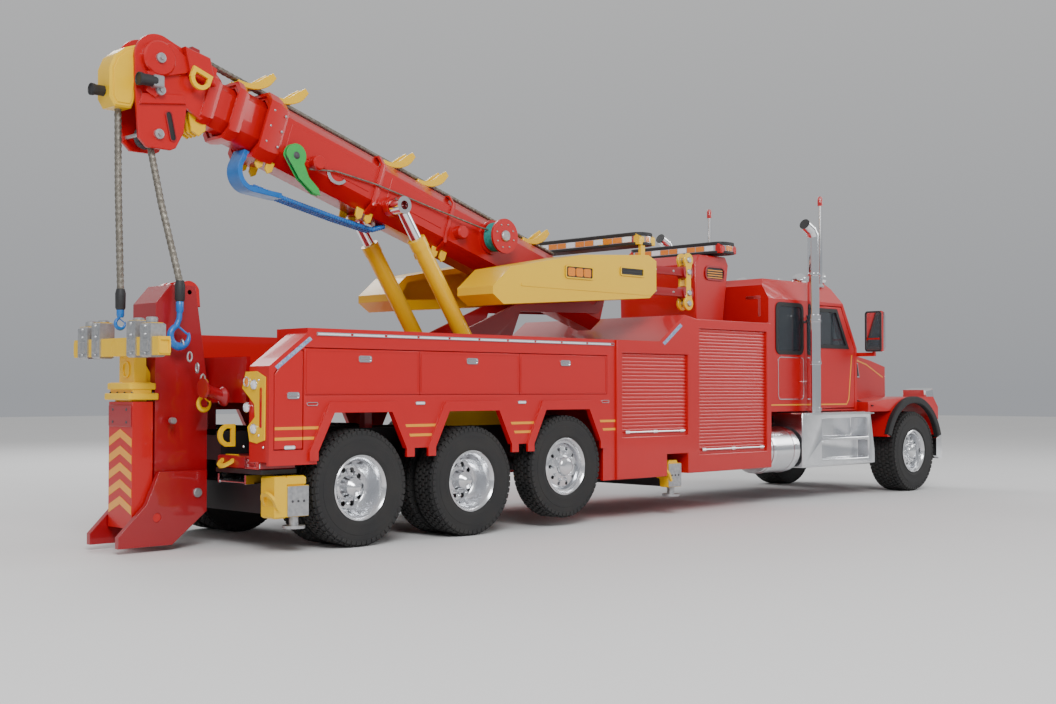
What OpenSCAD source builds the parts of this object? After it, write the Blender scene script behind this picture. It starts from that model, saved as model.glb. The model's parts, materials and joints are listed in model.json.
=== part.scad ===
// Heavy rotator tow truck on a sleeper-cab chassis. The stations below count from the
// rearmost drive axle, +X forward, +Y to the truck's left, ground at Z = 0.

/* [Overall] */
// Distance from the rearmost drive axle to the steer axle
wheelbase = 9900; // [9500:50:11900]
// Width over the wheel arch flares
body_w = 2600; // [2200:10:3120]
// Height of the wrecker body's top
body_top = 1970; // [1900:5:2040]
// Rearmost point of the underlift foot
rear_x = -1870; // [-1990:10:-1800]
// From the steer axle to the front of the bumper
front_overhang = 850; // [780:10:950]

/* [Wheels] */
// Radius of the drive and pusher tyres
tyre_r = 535; // [450:5:560]
// Width of one drive tyre
tyre_w = 280; // [240:5:310]
// Distance between the two tyres of a pair
dual_pitch = 330; // [320:5:380]
// Spacing of the two drive axles
drive_spacing = 1370; // [1340:10:1450]
// Station of the lifted pusher axle
pusher_x = 2700; // [2650:10:2760]
// Height that the pusher axle is lifted
pusher_lift = 90; // [20:5:120]
// Radius of the steer tyres
steer_r = 560; // [470:5:570]
// Width of the steer tyres
steer_w = 420; // [350:5:430]
// Radius of the wheel rims
rim_r = 290; // [250:5:300]
// Radius of the wheel spindles
spindle_r = 60; // [45:1:70]

/* [Chassis] */
// Outer half spacing of the frame rails
rail_y = 430; // [400:5:460]
// Height of the frame rails
rail_h = 300; // [250:5:320]
// Top of the frame rails
rail_top = 1050; // [1030:5:1070]
// Depth of an outrigger beam, along the truck
beam_w = 200; // [160:5:210]
// Height of an outrigger beam
beam_h = 230; // [190:5:240]
// Underside of the outrigger beams
beam_z = 340; // [320:5:360]

/* [Wrecker body] */
// Thickness of the compartment doors
door_t = 30; // [20:1:40]
// How far the arch flares stand proud of the body side
flare_t = 25; // [10:1:30]
// Length of one upper compartment door
bin_door_w = 1325; // [1200:5:1325]
// Height of the upper compartment doors
bin_door_h = 410; // [340:5:430]
// Depth of the side compartments
bin_depth = 470; // [300:5:500]

/* [Boom] */
// Angle of the boom above level as parked
boom_angle = 17.6; // [12:0.1:22]
// Width of the outer boom section
boom_w = 460; // [380:5:470]
// Height of the outer boom section
boom_h = 600; // [500:5:620]
// Wall of each boom section
boom_wall = 24; // [16:1:28]
// Length of the outer boom section, from its pivot
boom_len = 4780; // [4500:10:5000]
// Radius of the lift cylinder barrels
barrel_r = 95; // [80:1:100]
// Radius of the lift cylinder rods
rod_r = 60; // [48:1:65]

/* [Cab] */
// Width of the cab
cab_w = 2100; // [1900:10:2150]
// Height of the cab's roof
roof_z = 2850; // [2700:10:2900]
// Thickness of the cab's walls
cab_wall = 85; // [75:1:95]
// Thickness of the cab's doors
cab_door_t = 60; // [45:1:65]

/* [Hidden] */
$fn = 64;

red = [0.72, 0.04, 0.07];
dark_red = [0.45, 0.02, 0.05];
yellow = [0.93, 0.80, 0.05];
chrome = [0.82, 0.83, 0.85];
black = [0.06, 0.06, 0.07];
glass = [0.10, 0.12, 0.14];
grey = [0.30, 0.30, 0.32];

run = 0.5;         // running clearance at pins, slides and seats
door_gap = 8;      // gap round a door's edges
clear = 10;        // clearance between pieces that move past each other
front_x = wheelbase + front_overhang;
mid_x = (front_x + rear_x) / 2;

side_y = body_w / 2;
skin_y = side_y - flare_t;
skin_t = door_t + 5;
wheel_face = side_y - 30;
dual_y = wheel_face - tyre_w / 2;
steer_y = side_y - 50 - steer_w / 2;
kingpin_y = steer_y - 140;
kingpin_r = 30;
axles = [0, drive_spacing, pusher_x];
rail_w = 80;
rail_rear = -950;
rail_front = wheelbase + 740;
front_beam_x = 4515;
rear_beam_x = -690;
beam_wall = 12;
foot_r = 100;
foot_z = 215;
stem_r = 42;

body_rear = -1010;
body_front = 3470;
corner_z = 1630;
corner_x = -550;
bin_z0 = body_top - 590;
bin_x0 = -636;
bin_in = skin_y - bin_depth;
arch_top = 1220;
flare_w = 95;      // width of an arch flare
deck_z = 1360;
tunnel_split = 4830;
tunnel_floor = rail_top + 40;
tunnel_top = body_top + 280;

slew_x = 2250;
slew_r = 600;
slew_z = 1500;
pivot_x = 4200;
pivot_z = 2500;
pin_r = 70;
plate_t = 36;
plate_y = boom_w / 2 + 12;
base_x = slew_x;
base_z = 1700;
eye_x = 1170;
eye_z = 3300;
cyl_y = plate_y + plate_t + barrel_r + 12;
cyl_len = norm([eye_x - base_x, eye_z - base_z]);
cyl_tilt = atan2(base_x - eye_x, eye_z - base_z);
barrel_len = 1540;
rod_start = 416;
mid_step = boom_wall + 14;
cover_y0 = 560;
cover_y1 = 1100;
arm_y = 860;

cab_x0 = wheelbase - 3250;
cab_x1 = wheelbase - 1180;
cab_y = cab_w / 2;
cab_z0 = 1150;
cowl_z = 1990;
door_x0 = cab_x1 - 1100;
door_x1 = cab_x1 - 70;
nose_x = wheelbase + 540;
hinge_x = wheelbase + 700;
hinge_z = 850;
arch_r = 690;

// ---------- helpers ----------
module truck() translate([-mid_x, 0, 0]) children();

module both() {
    children();
    mirror([0, 1, 0]) children();
}

module side(s) {
    if (s > 0) children();
    else mirror([0, 1, 0]) children();
}

// An outline in X and Z, drawn out between two Y stations
module slab(points, y0, y1)
    translate([0, y1, 0]) rotate([90, 0, 0]) linear_extrude(y1 - y0) polygon(points);

// An outline in Y and Z, drawn out between two X stations
module across(points, x0, x1)
    translate([x0, 0, 0]) rotate([90, 0, 90]) linear_extrude(x1 - x0) polygon(points);

module block(x0, x1, y0, y1, z0, z1)
    translate([x0, y0, z0]) cube([x1 - x0, y1 - y0, z1 - z0]);

module y_rod(x, z, y0, y1, r)
    translate([x, y1, z]) rotate([90, 0, 0]) cylinder(h = y1 - y0, r = r);

module x_rod(x0, x1, y, z, r)
    translate([x0, y, z]) rotate([0, 90, 0]) cylinder(h = x1 - x0, r = r);

module z_rod(x, y, z0, z1, r)
    translate([x, y, z0]) cylinder(h = z1 - z0, r = r);

// ---------- chassis ----------
module frame_rails() truck() color(black) {
    difference() {
        union() {
            both() block(rail_rear, rail_front, rail_y - rail_w, rail_y,
                rail_top - rail_h, rail_top);
            for (x = [rail_rear, 690, 2040, 3300, 5600, cab_x0 + 300, wheelbase + 500])
                block(x, x + 100, -rail_y + rail_w / 2, rail_y - rail_w / 2,
                    rail_top - rail_h + 40, rail_top - 40);
            for (x = [front_beam_x, rear_beam_x]) outrigger_housing(x);
            both() y_rod(hinge_x - 25, hinge_z, rail_y - rail_w, rail_y, 60);
            both() y_rod(hinge_x - 25, hinge_z, rail_y - 1, rail_y + 50, 24);
        }
        for (x = [front_beam_x, rear_beam_x]) both() housing_bore(x);
    }
    both() rear_step();
}

module outrigger_housing(x) {
    w = beam_w / 2 + beam_wall + 5;
    block(x - w, x + w, -skin_y + 160, skin_y - 160, beam_z - run - beam_wall,
        beam_z + beam_h + 5 + beam_wall);
    both() block(x - w, x + w, rail_y - rail_w, rail_y, beam_z + beam_h,
        rail_top - rail_h + 1);
}

module housing_bore(x)
    block(x - beam_w / 2 - 5, x + beam_w / 2 + 5, 15, side_y, beam_z - run,
        beam_z + beam_h + 5);

module rear_step()
    block(body_rear + 10, rear_beam_x + 60, rail_y, skin_y - 130,
        rail_top - rail_h - 60, rail_top - rail_h - 20);

module axle_beams() truck() color(grey) {
    for (x = [0, drive_spacing]) axle(x, tyre_r, dual_y - dual_pitch - tyre_w / 2 + 60,
        dual_y + 15, 90);
    axle(pusher_x, tyre_r + pusher_lift, dual_y - 200, dual_y + 60, 70);
    for (x = [0, drive_spacing]) translate([x, 0, tyre_r]) sphere(r = 210);
    difference() {
        union() {
            block(wheelbase - 60, wheelbase + 60, -kingpin_y + 40, kingpin_y - 40,
                steer_r - 75, steer_r + 55);
            both() z_rod(wheelbase, kingpin_y, steer_r - 75, steer_r + 55, 62);
        }
        both() z_rod(wheelbase, kingpin_y, steer_r - 200, steer_r + 200, kingpin_r + run);
    }
    for (x = [0, drive_spacing, pusher_x])
        both() block(x - 60, x + 60, rail_y - rail_w, rail_y, tyre_r + 60,
            rail_top - rail_h);
    both() block(wheelbase - 45, wheelbase + 45, rail_y - rail_w, rail_y, steer_r + 50,
        rail_top - rail_h);
}

module axle(x, z, y_tube, y_end, r) both() {
    y_rod(x, z, -1, y_tube, r);
    y_rod(x, z, y_tube - 1, y_end, spindle_r);
}

module engine_block() truck() color(grey)
    block(cab_x1 + 130, wheelbase + 120, -rail_y + rail_w, rail_y - rail_w,
        rail_top - 150, 1680);

module fuel_tanks() truck() color(chrome) both() {
    x_rod(cab_x0 - 250, cab_x0 + 400, side_y - 340, 665, 285);
    for (x = [cab_x0 - 150, cab_x0 + 220])
        block(x, x + 70, rail_y, side_y - 560, 760, 900);
}

module cab_steps() truck() color(chrome) both() {
    difference() {
        slab([[cab_x0 + 450, 430], [cab_x1 + 120, 430], [cab_x1 + 120, 620],
            [cab_x1 + 20, 1130], [cab_x0 + 450, 1130]], side_y - 500, side_y - 50);
        block(cab_x0 + 900, cab_x1 - 40, side_y - 230, side_y, 520, 760);
        block(cab_x0 + 900, cab_x1 - 40, side_y - 330, side_y, 800, 1060);
    }
    block(cab_x0 + 520, cab_x1 - 100, rail_y, side_y - 499, rail_top - 250, rail_top - 60);
}

module front_bumper() truck() color(chrome) {
    x0 = front_x - 90;
    across([[-side_y + 90, 430], [side_y - 90, 430], [side_y - 90, 790],
        [-side_y + 90, 790]], x0, front_x);
    both() slab([[x0 - 60, 470], [x0 + 20, 430], [x0 + 20, 740], [x0 - 60, 730]],
        side_y - 150, side_y - 90);
    both() block(rail_front, x0 + 1, rail_y - rail_w, rail_y, 560, 780);
}

module exhaust_stacks() truck() color(chrome) both()
    translate([cab_x0 + 790, cab_y + 150, 1130]) {
        cylinder(h = 1250, r = 90);
        translate([0, 0, 1249]) cylinder(h = 1080, r = 76);
        translate([0, 0, 2290]) rotate([0, -35, 0]) cylinder(h = 130, r = 76);
        translate([-60, 0, 2370]) rotate([0, -65, 0]) cylinder(h = 150, r = 76);
        translate([0, -75, 1180]) rotate([90, 0, 0]) cylinder(h = 75, r = 20);
        translate([0, -75, 400]) rotate([90, 0, 0]) cylinder(h = 75, r = 20);
    }

// ---------- cab ----------
function cab_outline(i) = [[cab_x0 + i, cab_z0 + i], [cab_x1 - i, cab_z0 + i],
    [cab_x1 - i, cowl_z - i * 0.2], [cab_x1 - 460 - i * 0.7, roof_z - 60 - i],
    [cab_x1 - 560, roof_z - i], [cab_x0 + 90, roof_z - i], [cab_x0 + i, roof_z - 90 - i]];

function cab_section(i) = [[-cab_y + i, cab_z0 + i], [cab_y - i, cab_z0 + i],
    [cab_y - i, roof_z - 260], [cab_y - 150 - i * 0.5, roof_z - i],
    [-cab_y + 150 + i * 0.5, roof_z - i], [-cab_y + i, roof_z - 260]];

function door_outline(g) = [[door_x0 - g, cab_z0 + 30 - g], [door_x1 + g, cab_z0 + 30 - g],
    [door_x1 + g, cowl_z], [cab_x1 - 390 + g, roof_z - 310 + g],
    [door_x0 - g, roof_z - 310 + g]];

function door_window() = [[door_x0 + 150, 2010], [door_x1 - 190, 2010],
    [cab_x1 - 520, roof_z - 370], [door_x0 + 150, roof_z - 370]];

sleeper_window = [[cab_x0 + 180, 1910], [cab_x0 + 740, 1910], [cab_x0 + 740, 2520],
    [cab_x0 + 180, 2520]];

module cab_body(i) intersection() {
    slab(cab_outline(i), -cab_y + i, cab_y - i);
    across(cab_section(i), cab_x0 + i, cab_x1 - i);
}

module cab_shell() truck() color(red) {
    difference() {
        cab_body(0);
        cab_body(cab_wall);
        both() slab(door_outline(door_gap), cab_y - cab_door_t - run, cab_y + 1);
        both() slab(door_outline(-25), cab_y - cab_wall - 1, cab_y + 1);
        both() slab(sleeper_window, cab_y - cab_wall - 1, cab_y + 1);
        windshield_cut(cab_wall * 3, 0);
    }
    for (x = [cab_x0 + 300, cab_x1 - 500]) both()
        block(x, x + 160, rail_y - rail_w, rail_y, rail_top, cab_z0);
}

// The opening of the windshield, square to its slope
module windshield_cut(depth, inset) {
    run_x = 460;
    rise = roof_z - 60 - cowl_z;
    lean = atan2(run_x, rise);
    translate([cab_x1, 0, cowl_z]) rotate([0, -lean, 0])
        translate([-depth, -cab_y + 190 + inset, 60 + inset])
            cube([depth + 1, cab_w - 380 - 2 * inset, norm([run_x, rise]) - 120 - 2 * inset]);
}

module cab_glass() truck() color(glass) {
    intersection() {
        windshield_cut(45, run / 2);
        cab_body(20);
    }
    both() slab([for (p = sleeper_window) [p[0] + (p[0] < cab_x0 + 400 ? run : -run),
        p[1] + (p[1] < 2200 ? run : -run)]], cab_y - 50, cab_y - 20);
}

module cab_seats() truck() color(black) both()
    translate([cab_x1 - 1050, cab_y - 610, cab_z0 + cab_wall]) {
        block(80, 480, -170, 170, 0, 300);
        block(0, 520, -240, 240, 300, 430);
        slab([[-80, 1080], [60, 1080], [130, 430], [-10, 430]], -230, 230);
    }

module dashboard() truck() color(black) {
    slab([[cab_x1 - 400, 1700], [cab_x1 - cab_wall, cab_z0 + cab_wall + 250],
        [cab_x1 - cab_wall, cowl_z - 60], [cab_x1 - 260, cowl_z - 60]],
        -cab_y + cab_wall + 30, cab_y - cab_wall - 30);
    translate([cab_x1 - 470, cab_y - 610, 1880]) rotate([0, -65, 0]) {
        rotate_extrude() translate([210, 0]) circle(r = 16);
        cylinder(h = 24, r = 60, center = true);
        for (a = [0, 120, 240]) rotate([0, 0, a]) translate([40, -12, -8])
            cube([165, 24, 16]);
        translate([0, 0, -240]) cylinder(h = 240, r = 22);
    }
}

module mirrors() truck() color(red) both() {
    x = cab_x1 + 50;
    block(cab_x1, x + 30, cab_y - 90, cab_y - 40, 1880, 1940);
    block(x - 20, x + 30, cab_y - 90, cab_y + 250, 1885, 1935);
    z_rod(x + 5, cab_y + 235, 1900, 2030, 22);
    slab([[x - 50, 1950], [x + 20, 1950], [x + 70, 2020], [x + 70, 2430], [x + 10, 2490],
        [x - 50, 2490]], cab_y + 140, cab_y + 380);
}

// ---------- hood ----------
function hood_outline(i) = [[cab_x1 + 15, 1100], [nose_x - i, 1100],
    [nose_x - i, 1690 - i], [nose_x - 60 - i, 1750 - i], [nose_x - 700, 1850 - i],
    [cab_x1 + 15, 1960 - i]];

module hood_body(i) intersection() {
    slab(hood_outline(i), -800, 800);
    translate([0, 0, 900 - i]) linear_extrude(1400)
        polygon([[cab_x1 + 14, -790 + i], [nose_x - 160, -560 + i], [nose_x, -470 + i],
            [nose_x, 470 - i], [nose_x - 160, 560 - i], [cab_x1 + 14, 790 - i]]);
}

module hood() truck() color(red) {
    difference() {
        union() {
            hood_body(0);
            both() fender();
        }
        hood_body(25);
        block(nose_x - 60, nose_x + 1, -440, 440, 1130, 1660);
        block(cab_x1, nose_x - 50, -700, 700, 900, 1100);
        both() y_rod(wheelbase, steer_r, 560, side_y + 1, arch_r, $fn = 180);
    }
    block(nose_x - 40, nose_x, -440.0, 440, 1130, 1660);
    both() headlamp();
    both() hinge_lug();
}

module fender() {
    difference() {
        union() {
            y_rod(wheelbase, steer_r, 600, side_y - 50, arch_r + 80, $fn = 180);
            slab([[wheelbase + 100, 1000], [wheelbase + 700, 1000], [wheelbase + 700, 1180],
                [wheelbase + 560, 1330], [wheelbase, 1330]], 600, side_y - 60);
            slab([[cab_x1 + 70, 1130], [wheelbase - 400, 1130], [wheelbase, 1325],
                [wheelbase - 100, 1325], [cab_x1 + 70, 1260]], 600, side_y - 120);
        }
        y_rod(wheelbase, steer_r, 560, side_y + 1, arch_r, $fn = 180);
        block(wheelbase - 900, wheelbase + 900, 500, side_y + 1, -400, 780);
        block(wheelbase - 2000, cab_x1 + 70, 500, side_y + 1, 0, 2000);
    }
}

module headlamp()
    slab([[wheelbase + 480, 1200], [wheelbase + 690, 1200], [wheelbase + 730, 1260],
        [wheelbase + 690, 1440], [wheelbase + 480, 1400]], 800, side_y - 140);

module hinge_lug() difference() {
    union() {
        slab([[nose_x - 60, 1000], [hinge_x - 90, 820], [hinge_x + 20, 820],
            [hinge_x + 20, 900], [nose_x, 1180], [nose_x - 60, 1180]], rail_y + 6,
            rail_y + 44);
        block(nose_x - 40, nose_x, rail_y + 6, 640, 1000, 1180);
    }
    y_rod(hinge_x - 25, hinge_z, rail_y, rail_y + 60, 24 + run);
}

module cab_door(s) truck() color(red) side(s) difference() {
    intersection() {
        slab(door_outline(0), cab_y - cab_door_t, cab_y);
        across(cab_section(0), door_x0 - 10, door_x1 + 10);
    }
    slab(door_window(), cab_y - cab_door_t - 1, cab_y + 1);
}

module cab_door_left() cab_door(1);
module cab_door_right() cab_door(-1);

// ---------- wheels ----------
module tyre_ring(r, w) rotate_extrude() polygon([[rim_r - 12, -w / 2 + 18],
    [r * 0.72, -w / 2], [r - 45, -w / 2 + 4], [r, -w / 2 + 40], [r, w / 2 - 40],
    [r - 45, w / 2 - 4], [r * 0.72, w / 2], [rim_r - 12, w / 2 - 18]]);

// A wheel's axis is Z here; its outer face is at +Z
module single_wheel(r, w, disc) {
    tyre_ring(r, w);
    rotate_extrude() polygon([[rim_r - 30, -w / 2 + 18], [rim_r - 10, -w / 2 + 18],
        [rim_r - 10, w / 2 - 18], [rim_r - 30, w / 2 - 18]]);
    difference() {
        union() {
            translate([0, 0, disc]) cylinder(h = 26, r = rim_r - 28);
            translate([0, 0, disc - 60]) cylinder(h = 170, r = 110);
        }
        translate([0, 0, disc - 61]) cylinder(h = 110, r = spindle_r + run);
    }
}

module dual_wheel() {
    single_wheel(tyre_r, tyre_w, -30);
    translate([0, 0, -dual_pitch]) {
        tyre_ring(tyre_r, tyre_w);
        rotate_extrude() polygon([[rim_r - 30, -tyre_w / 2 + 18],
            [rim_r - 10, -tyre_w / 2 + 18], [rim_r - 10, dual_pitch], [rim_r - 30, dual_pitch]]);
    }
}

module set_wheel(s, x, y, z) truck() color(black) side(s)
    translate([x, y, z]) rotate([-90, 0, 0]) children();

module steer_wheel_left() set_wheel(1, wheelbase, steer_y, steer_r)
    single_wheel(steer_r, steer_w, 70);
module steer_wheel_right() set_wheel(-1, wheelbase, steer_y, steer_r)
    single_wheel(steer_r, steer_w, 70);
module pusher_wheel_left() set_wheel(1, pusher_x, dual_y, tyre_r + pusher_lift)
    single_wheel(tyre_r, tyre_w, 40);
module pusher_wheel_right() set_wheel(-1, pusher_x, dual_y, tyre_r + pusher_lift)
    single_wheel(tyre_r, tyre_w, 40);
module front_duals_left() set_wheel(1, drive_spacing, dual_y, tyre_r) dual_wheel();
module front_duals_right() set_wheel(-1, drive_spacing, dual_y, tyre_r) dual_wheel();
module rear_duals_left() set_wheel(1, 0, dual_y, tyre_r) dual_wheel();
module rear_duals_right() set_wheel(-1, 0, dual_y, tyre_r) dual_wheel();

module knuckle(s) truck() color(grey) side(s) {
    z_rod(wheelbase, kingpin_y, steer_r - 115, steer_r + 95, kingpin_r);
    for (z = [steer_r - 116, steer_r + 56])
        block(wheelbase - 50, wheelbase + 50, kingpin_y - 50, kingpin_y + 110, z, z + 40);
    block(wheelbase - 60, wheelbase + 60, kingpin_y + 80, kingpin_y + 120, steer_r - 116,
        steer_r + 96);
    y_rod(wheelbase, steer_r, kingpin_y + 110, steer_y + 110, spindle_r);
}

module knuckle_left() knuckle(1);
module knuckle_right() knuckle(-1);

// ---------- wrecker body ----------
function arch(c, g) = [[c - 505 - g, 0], [c - 505 - g, 880], [c - 330 - g / 2, arch_top + g],
    [c + 330 + g / 2, arch_top + g], [c + 505 + g, 880], [c + 505 + g, 0]];

function bin_door(k) = [bin_x0 + k * bin_door_w, bin_x0 + (k + 1) * bin_door_w - door_gap];

corner_door_pts = [[-955, 910], [-660, 910], [-660, 1770], [-750, 1770], [-955, 1560]];

module body_side() difference() {
    polygon([[body_rear, 770], [-505, 770], [-505, 880],
        [pusher_x + 565, 880], [pusher_x + 565, 450],
        [body_front, 450], [body_front, body_top], [corner_x, body_top],
        [body_rear, corner_z]]);
    for (c = axles) polygon(arch(c, 0));
}

module bins() {
    difference() {
        union() {
            translate([0, skin_y, 0]) rotate([90, 0, 0]) linear_extrude(skin_t)
                body_side();
            slab([[corner_x - 60, bin_z0 - 60], [body_front, bin_z0 - 60],
                [body_front, body_top], [corner_x - 60, body_top]], bin_in, skin_y - 1);
            corner_box();
        }
        for (k = [0, 1, 2]) bin_cut(k);
        slab([for (p = corner_door_pts) [p[0] + (p[0] < -700 ? -door_gap : door_gap),
            p[1] + (p[1] < 1000 ? -door_gap : door_gap)]], skin_y - door_t - run, skin_y + 1);
        slab([[-920, 960], [-700, 960], [-700, 1560], [-920, 1490]], skin_y - 260,
            skin_y + 1);
    }
    for (c = axles) flare(c);
}

module corner_box() slab([[body_rear, 800], [corner_x - 59, 800], [corner_x - 59, body_top],
    [corner_x, body_top], [body_rear, corner_z]], skin_y - 300, skin_y - 1);

module bin_cut(k) {
    d = bin_door(k);
    block(d[0] - door_gap / 2, d[1] + door_gap / 2, skin_y - door_t - run, skin_y + 1,
        bin_z0 - 3, bin_z0 + bin_door_h + door_gap);
    block(d[0] + 40, d[1] - 40, bin_in + 25, skin_y + 1, bin_z0 + 30,
        bin_z0 + bin_door_h - 30);
}

module flare(c) difference() {
    slab([for (p = arch(c, flare_w)) [p[0], max(p[1], 780)]], skin_y - 1, side_y);
    slab(arch(c, 0), skin_y - 2, side_y + 1);
    block(c - 700, c + 700, skin_y - 2, side_y + 1, 0, 800);
    if (c > 0) block(c - 700, c - drive_spacing / 2, skin_y - 2, side_y + 1, 0, 1330);
    if (c < pusher_x) block(c + drive_spacing / 2 - 20, c + 720, skin_y - 2, side_y + 1, 0, 1330);
}

module left_bins() truck() color(red) bins();
module right_bins() truck() color(red) side(-1) bins();

module deck() truck() color(dark_red) {
    difference() {
        block(rail_rear + 20, body_front, -bin_in, bin_in, deck_z - 50, deck_z);
        translate([slew_x, 0, 0]) cylinder(h = 3000, r = slew_r + clear);
    }
    for (x = [-600, 690, 3200]) both()
        block(x, x + 90, rail_y - rail_w, rail_y, rail_top, deck_z - 50);
    block(rail_rear + 20, rail_rear + 60, -bin_in, bin_in, deck_z, body_top - 250);
}

module bin_panel(s, k) truck() color(red) side(s) {
    d = bin_door(k);
    block(d[0], d[1], skin_y - door_t, skin_y, bin_z0, bin_z0 + bin_door_h);
}

module bin_door_rear_left() bin_panel(1, 0);
module bin_door_rear_right() bin_panel(-1, 0);
module bin_door_mid_left() bin_panel(1, 1);
module bin_door_mid_right() bin_panel(-1, 1);
module bin_door_front_left() bin_panel(1, 2);
module bin_door_front_right() bin_panel(-1, 2);

module corner_door(s) truck() color(red) side(s)
    slab(corner_door_pts, skin_y - door_t, skin_y);
module corner_door_left() corner_door(1);
module corner_door_right() corner_door(-1);

tunnel_end = cab_x0 - 300;
shutters_at = [[body_front + 90, tunnel_split - 120, 910, 1830],
    [tunnel_split + 90, tunnel_end - 90, 680, 2140]];

module tunnel_boxes() truck() color(red) difference() {
    union() {
        slab([[body_front, tunnel_floor - 40], [tunnel_end, tunnel_floor - 40],
            [tunnel_end, tunnel_top], [tunnel_split + 40, tunnel_top],
            [4650, tunnel_top + 40], [4200, body_top], [body_front, body_top]],
            -side_y, side_y);
        both() slab([[body_front, 450], [front_beam_x - 190, 450], [front_beam_x - 190, 700],
            [front_beam_x + 190, 700], [front_beam_x + 190, 470], [tunnel_end, 470],
            [tunnel_end, tunnel_floor], [body_front, tunnel_floor]], rail_y + 40, side_y);
    }
    block(body_front + 60, tunnel_split - 60, -side_y + 60, side_y - 60, tunnel_floor,
        1870);
    block(tunnel_split + 60, tunnel_end - 60, -side_y + 60, side_y - 60, tunnel_floor,
        tunnel_top - 60);
    for (q = shutters_at) both() {
        block(q[0], q[1], side_y - 61, side_y + 1, q[2], q[3]);
        block(q[0], q[1], rail_y + 100, side_y, q[2], tunnel_floor + 1);
    }
}

module shutters() truck() color(red) for (q = shutters_at) both()
    block(q[0], q[1], side_y - 55, side_y - 25, q[2], q[3]);

module slew_pedestal() truck() color(yellow) {
    translate([slew_x, 0, deck_z - 60]) cylinder(h = slew_z - deck_z + 60, r = slew_r);
    block(slew_x - 500, slew_x + 500, -rail_y, rail_y, rail_top, deck_z - 50);
}

module light_mast() truck() color(red) {
    x = tunnel_end;
    difference() {
        slab([[x - 620, tunnel_top], [x - 80, tunnel_top], [x + 40, 3010], [x - 20, 3110],
            [x - 560, 3110], [x - 640, 2990]], -620, 620);
        slab([[x - 560, tunnel_top - 1], [x - 140, tunnel_top - 1], [x - 60, 2960],
            [x - 560, 2960]], -560, 560);
    }
    across([[-760, 3140], [760, 3140], [760, 3230], [700, 3275], [-700, 3275], [-760, 3230]],
        x - 300, x + 30);
    both() block(x - 200, x - 80, 400, 460, 3109, 3141);
}

// ---------- turret, boom and lift cylinders ----------
module turret_frame() truck() color(dark_red) {
    difference() {
        union() {
            translate([slew_x, 0, slew_z + run]) cylinder(h = 90, r = slew_r);
            block(slew_x - 330, slew_x + 330, -plate_y + 1, plate_y - 1, slew_z + 80,
                slew_z + 170);
            both() turret_plate();
        }
        y_rod(pivot_x, pivot_z, -800, 800, pin_r + run);
    }
    both() y_rod(base_x, base_z, plate_y + 1, cyl_y + barrel_r + 10, 45);
    both() arm_bracket();
}

module turret_plate() slab([[slew_x - 400, slew_z + 60], [slew_x + 420, slew_z + 60],
    [3000, 2300], [pivot_x + 100, 2330], [pivot_x + 190, 2420], [pivot_x + 190, 2620],
    [pivot_x + 90, 2700], [pivot_x - 500, 2690], [2650, 2260], [slew_x - 250, 2000],
    [slew_x - 400, 1850]], plate_y, plate_y + plate_t);

// Carries the covers and the front arms, outside the side plates
module arm_bracket() {
    block(3500, pivot_x + 160, plate_y + plate_t - 1, cover_y0, 2480, 2600);
    for (z = [2540, 2790]) {
        block(pivot_x, pivot_x + 1000, arm_y - 30, arm_y + 30, z, z + 90);
        y_rod(pivot_x + 1000, z + 45, arm_y - 60, arm_y + 60, 90);
    }
    block(pivot_x, pivot_x + 120, plate_y + plate_t - 1, arm_y + 29, 2520, 2880);
}

module turret_covers() truck() color(yellow) {
    both() difference() {
        slab([[slew_x - 450, 2400], [slew_x - 300, 2300], [pivot_x + 60, 2470],
            [pivot_x + 180, 2560], [pivot_x + 180, 2900], [pivot_x + 40, 2960],
            [slew_x + 900, 2890], [slew_x - 200, 2690], [slew_x - 450, 2480]], cover_y0, cover_y1);
        slab([[slew_x - 300, 2420], [pivot_x + 1, 2540], [pivot_x + 1, 2880],
            [slew_x + 900, 2830], [slew_x - 190, 2620]], cover_y0 - 20, cover_y1 - 40);
        block(pivot_x - 1, pivot_x + 300, cover_y0 - 20, arm_y + 40, 2500, 2900);
    }
    across([[-1000, 3090], [1000, 3090], [1000, 3180], [930, 3225], [-930, 3225],
        [-1000, 3180]], pivot_x, pivot_x + 280);
    both() block(pivot_x + 40, pivot_x + 110, 950, 990, 2930, 3091);
}

module boom_frame() translate([pivot_x, 0, pivot_z]) rotate([0, boom_angle, 0]) children();

function octagon(w, h, c) = [[-w / 2, -h / 2 + c], [-w / 2 + c, -h / 2], [w / 2 - c, -h / 2],
    [w / 2, -h / 2 + c], [w / 2, h / 2 - c], [w / 2 - c, h / 2], [-w / 2 + c, h / 2],
    [-w / 2, h / 2 - c]];

module box_section(s0, s1, w, h, c, wall) difference() {
    across(octagon(w, h, c), -s1, -s0);
    across(octagon(w - 2 * wall, h - 2 * wall, c - wall / 2), -s1 - 1, -s0 + 1);
}

mid_w = boom_w - 2 * mid_step;
mid_h = boom_h - 2 * mid_step;
tip_w = mid_w - 2 * mid_step;
tip_h = mid_h - 2 * mid_step;

module boom_outer() truck() boom_frame() color(red) {
    box_section(320, boom_len, boom_w, boom_h, 120, boom_wall);
    across(octagon(boom_w, boom_h, 120), -322, 250);
    y_rod(0, 0, -plate_y - plate_t + 5, plate_y + plate_t - 5, pin_r);
    collar(boom_len - 90, boom_len, boom_w, boom_h);
    both() y_rod(-3129, -153, boom_w / 2 - 1, cyl_y - barrel_r + 10, 105);
    slide_pad(boom_len - 260, boom_len - 60, mid_w, mid_h);
    both() winch();
}

module collar(s0, s1, w, h) difference() {
    across(octagon(w + 50, h + 50, 130), -s1, -s0);
    across(octagon(w - 2, h - 2, 120), -s1 - 1, -s0 + 1);
}

// A wear pad under a sliding section
module slide_pad(s0, s1, w, h)
    block(-s1, -s0, -w / 2 + 120, w / 2 - 120, -h / 2 - mid_step + boom_wall - 1,
        -h / 2 - run);

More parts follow.
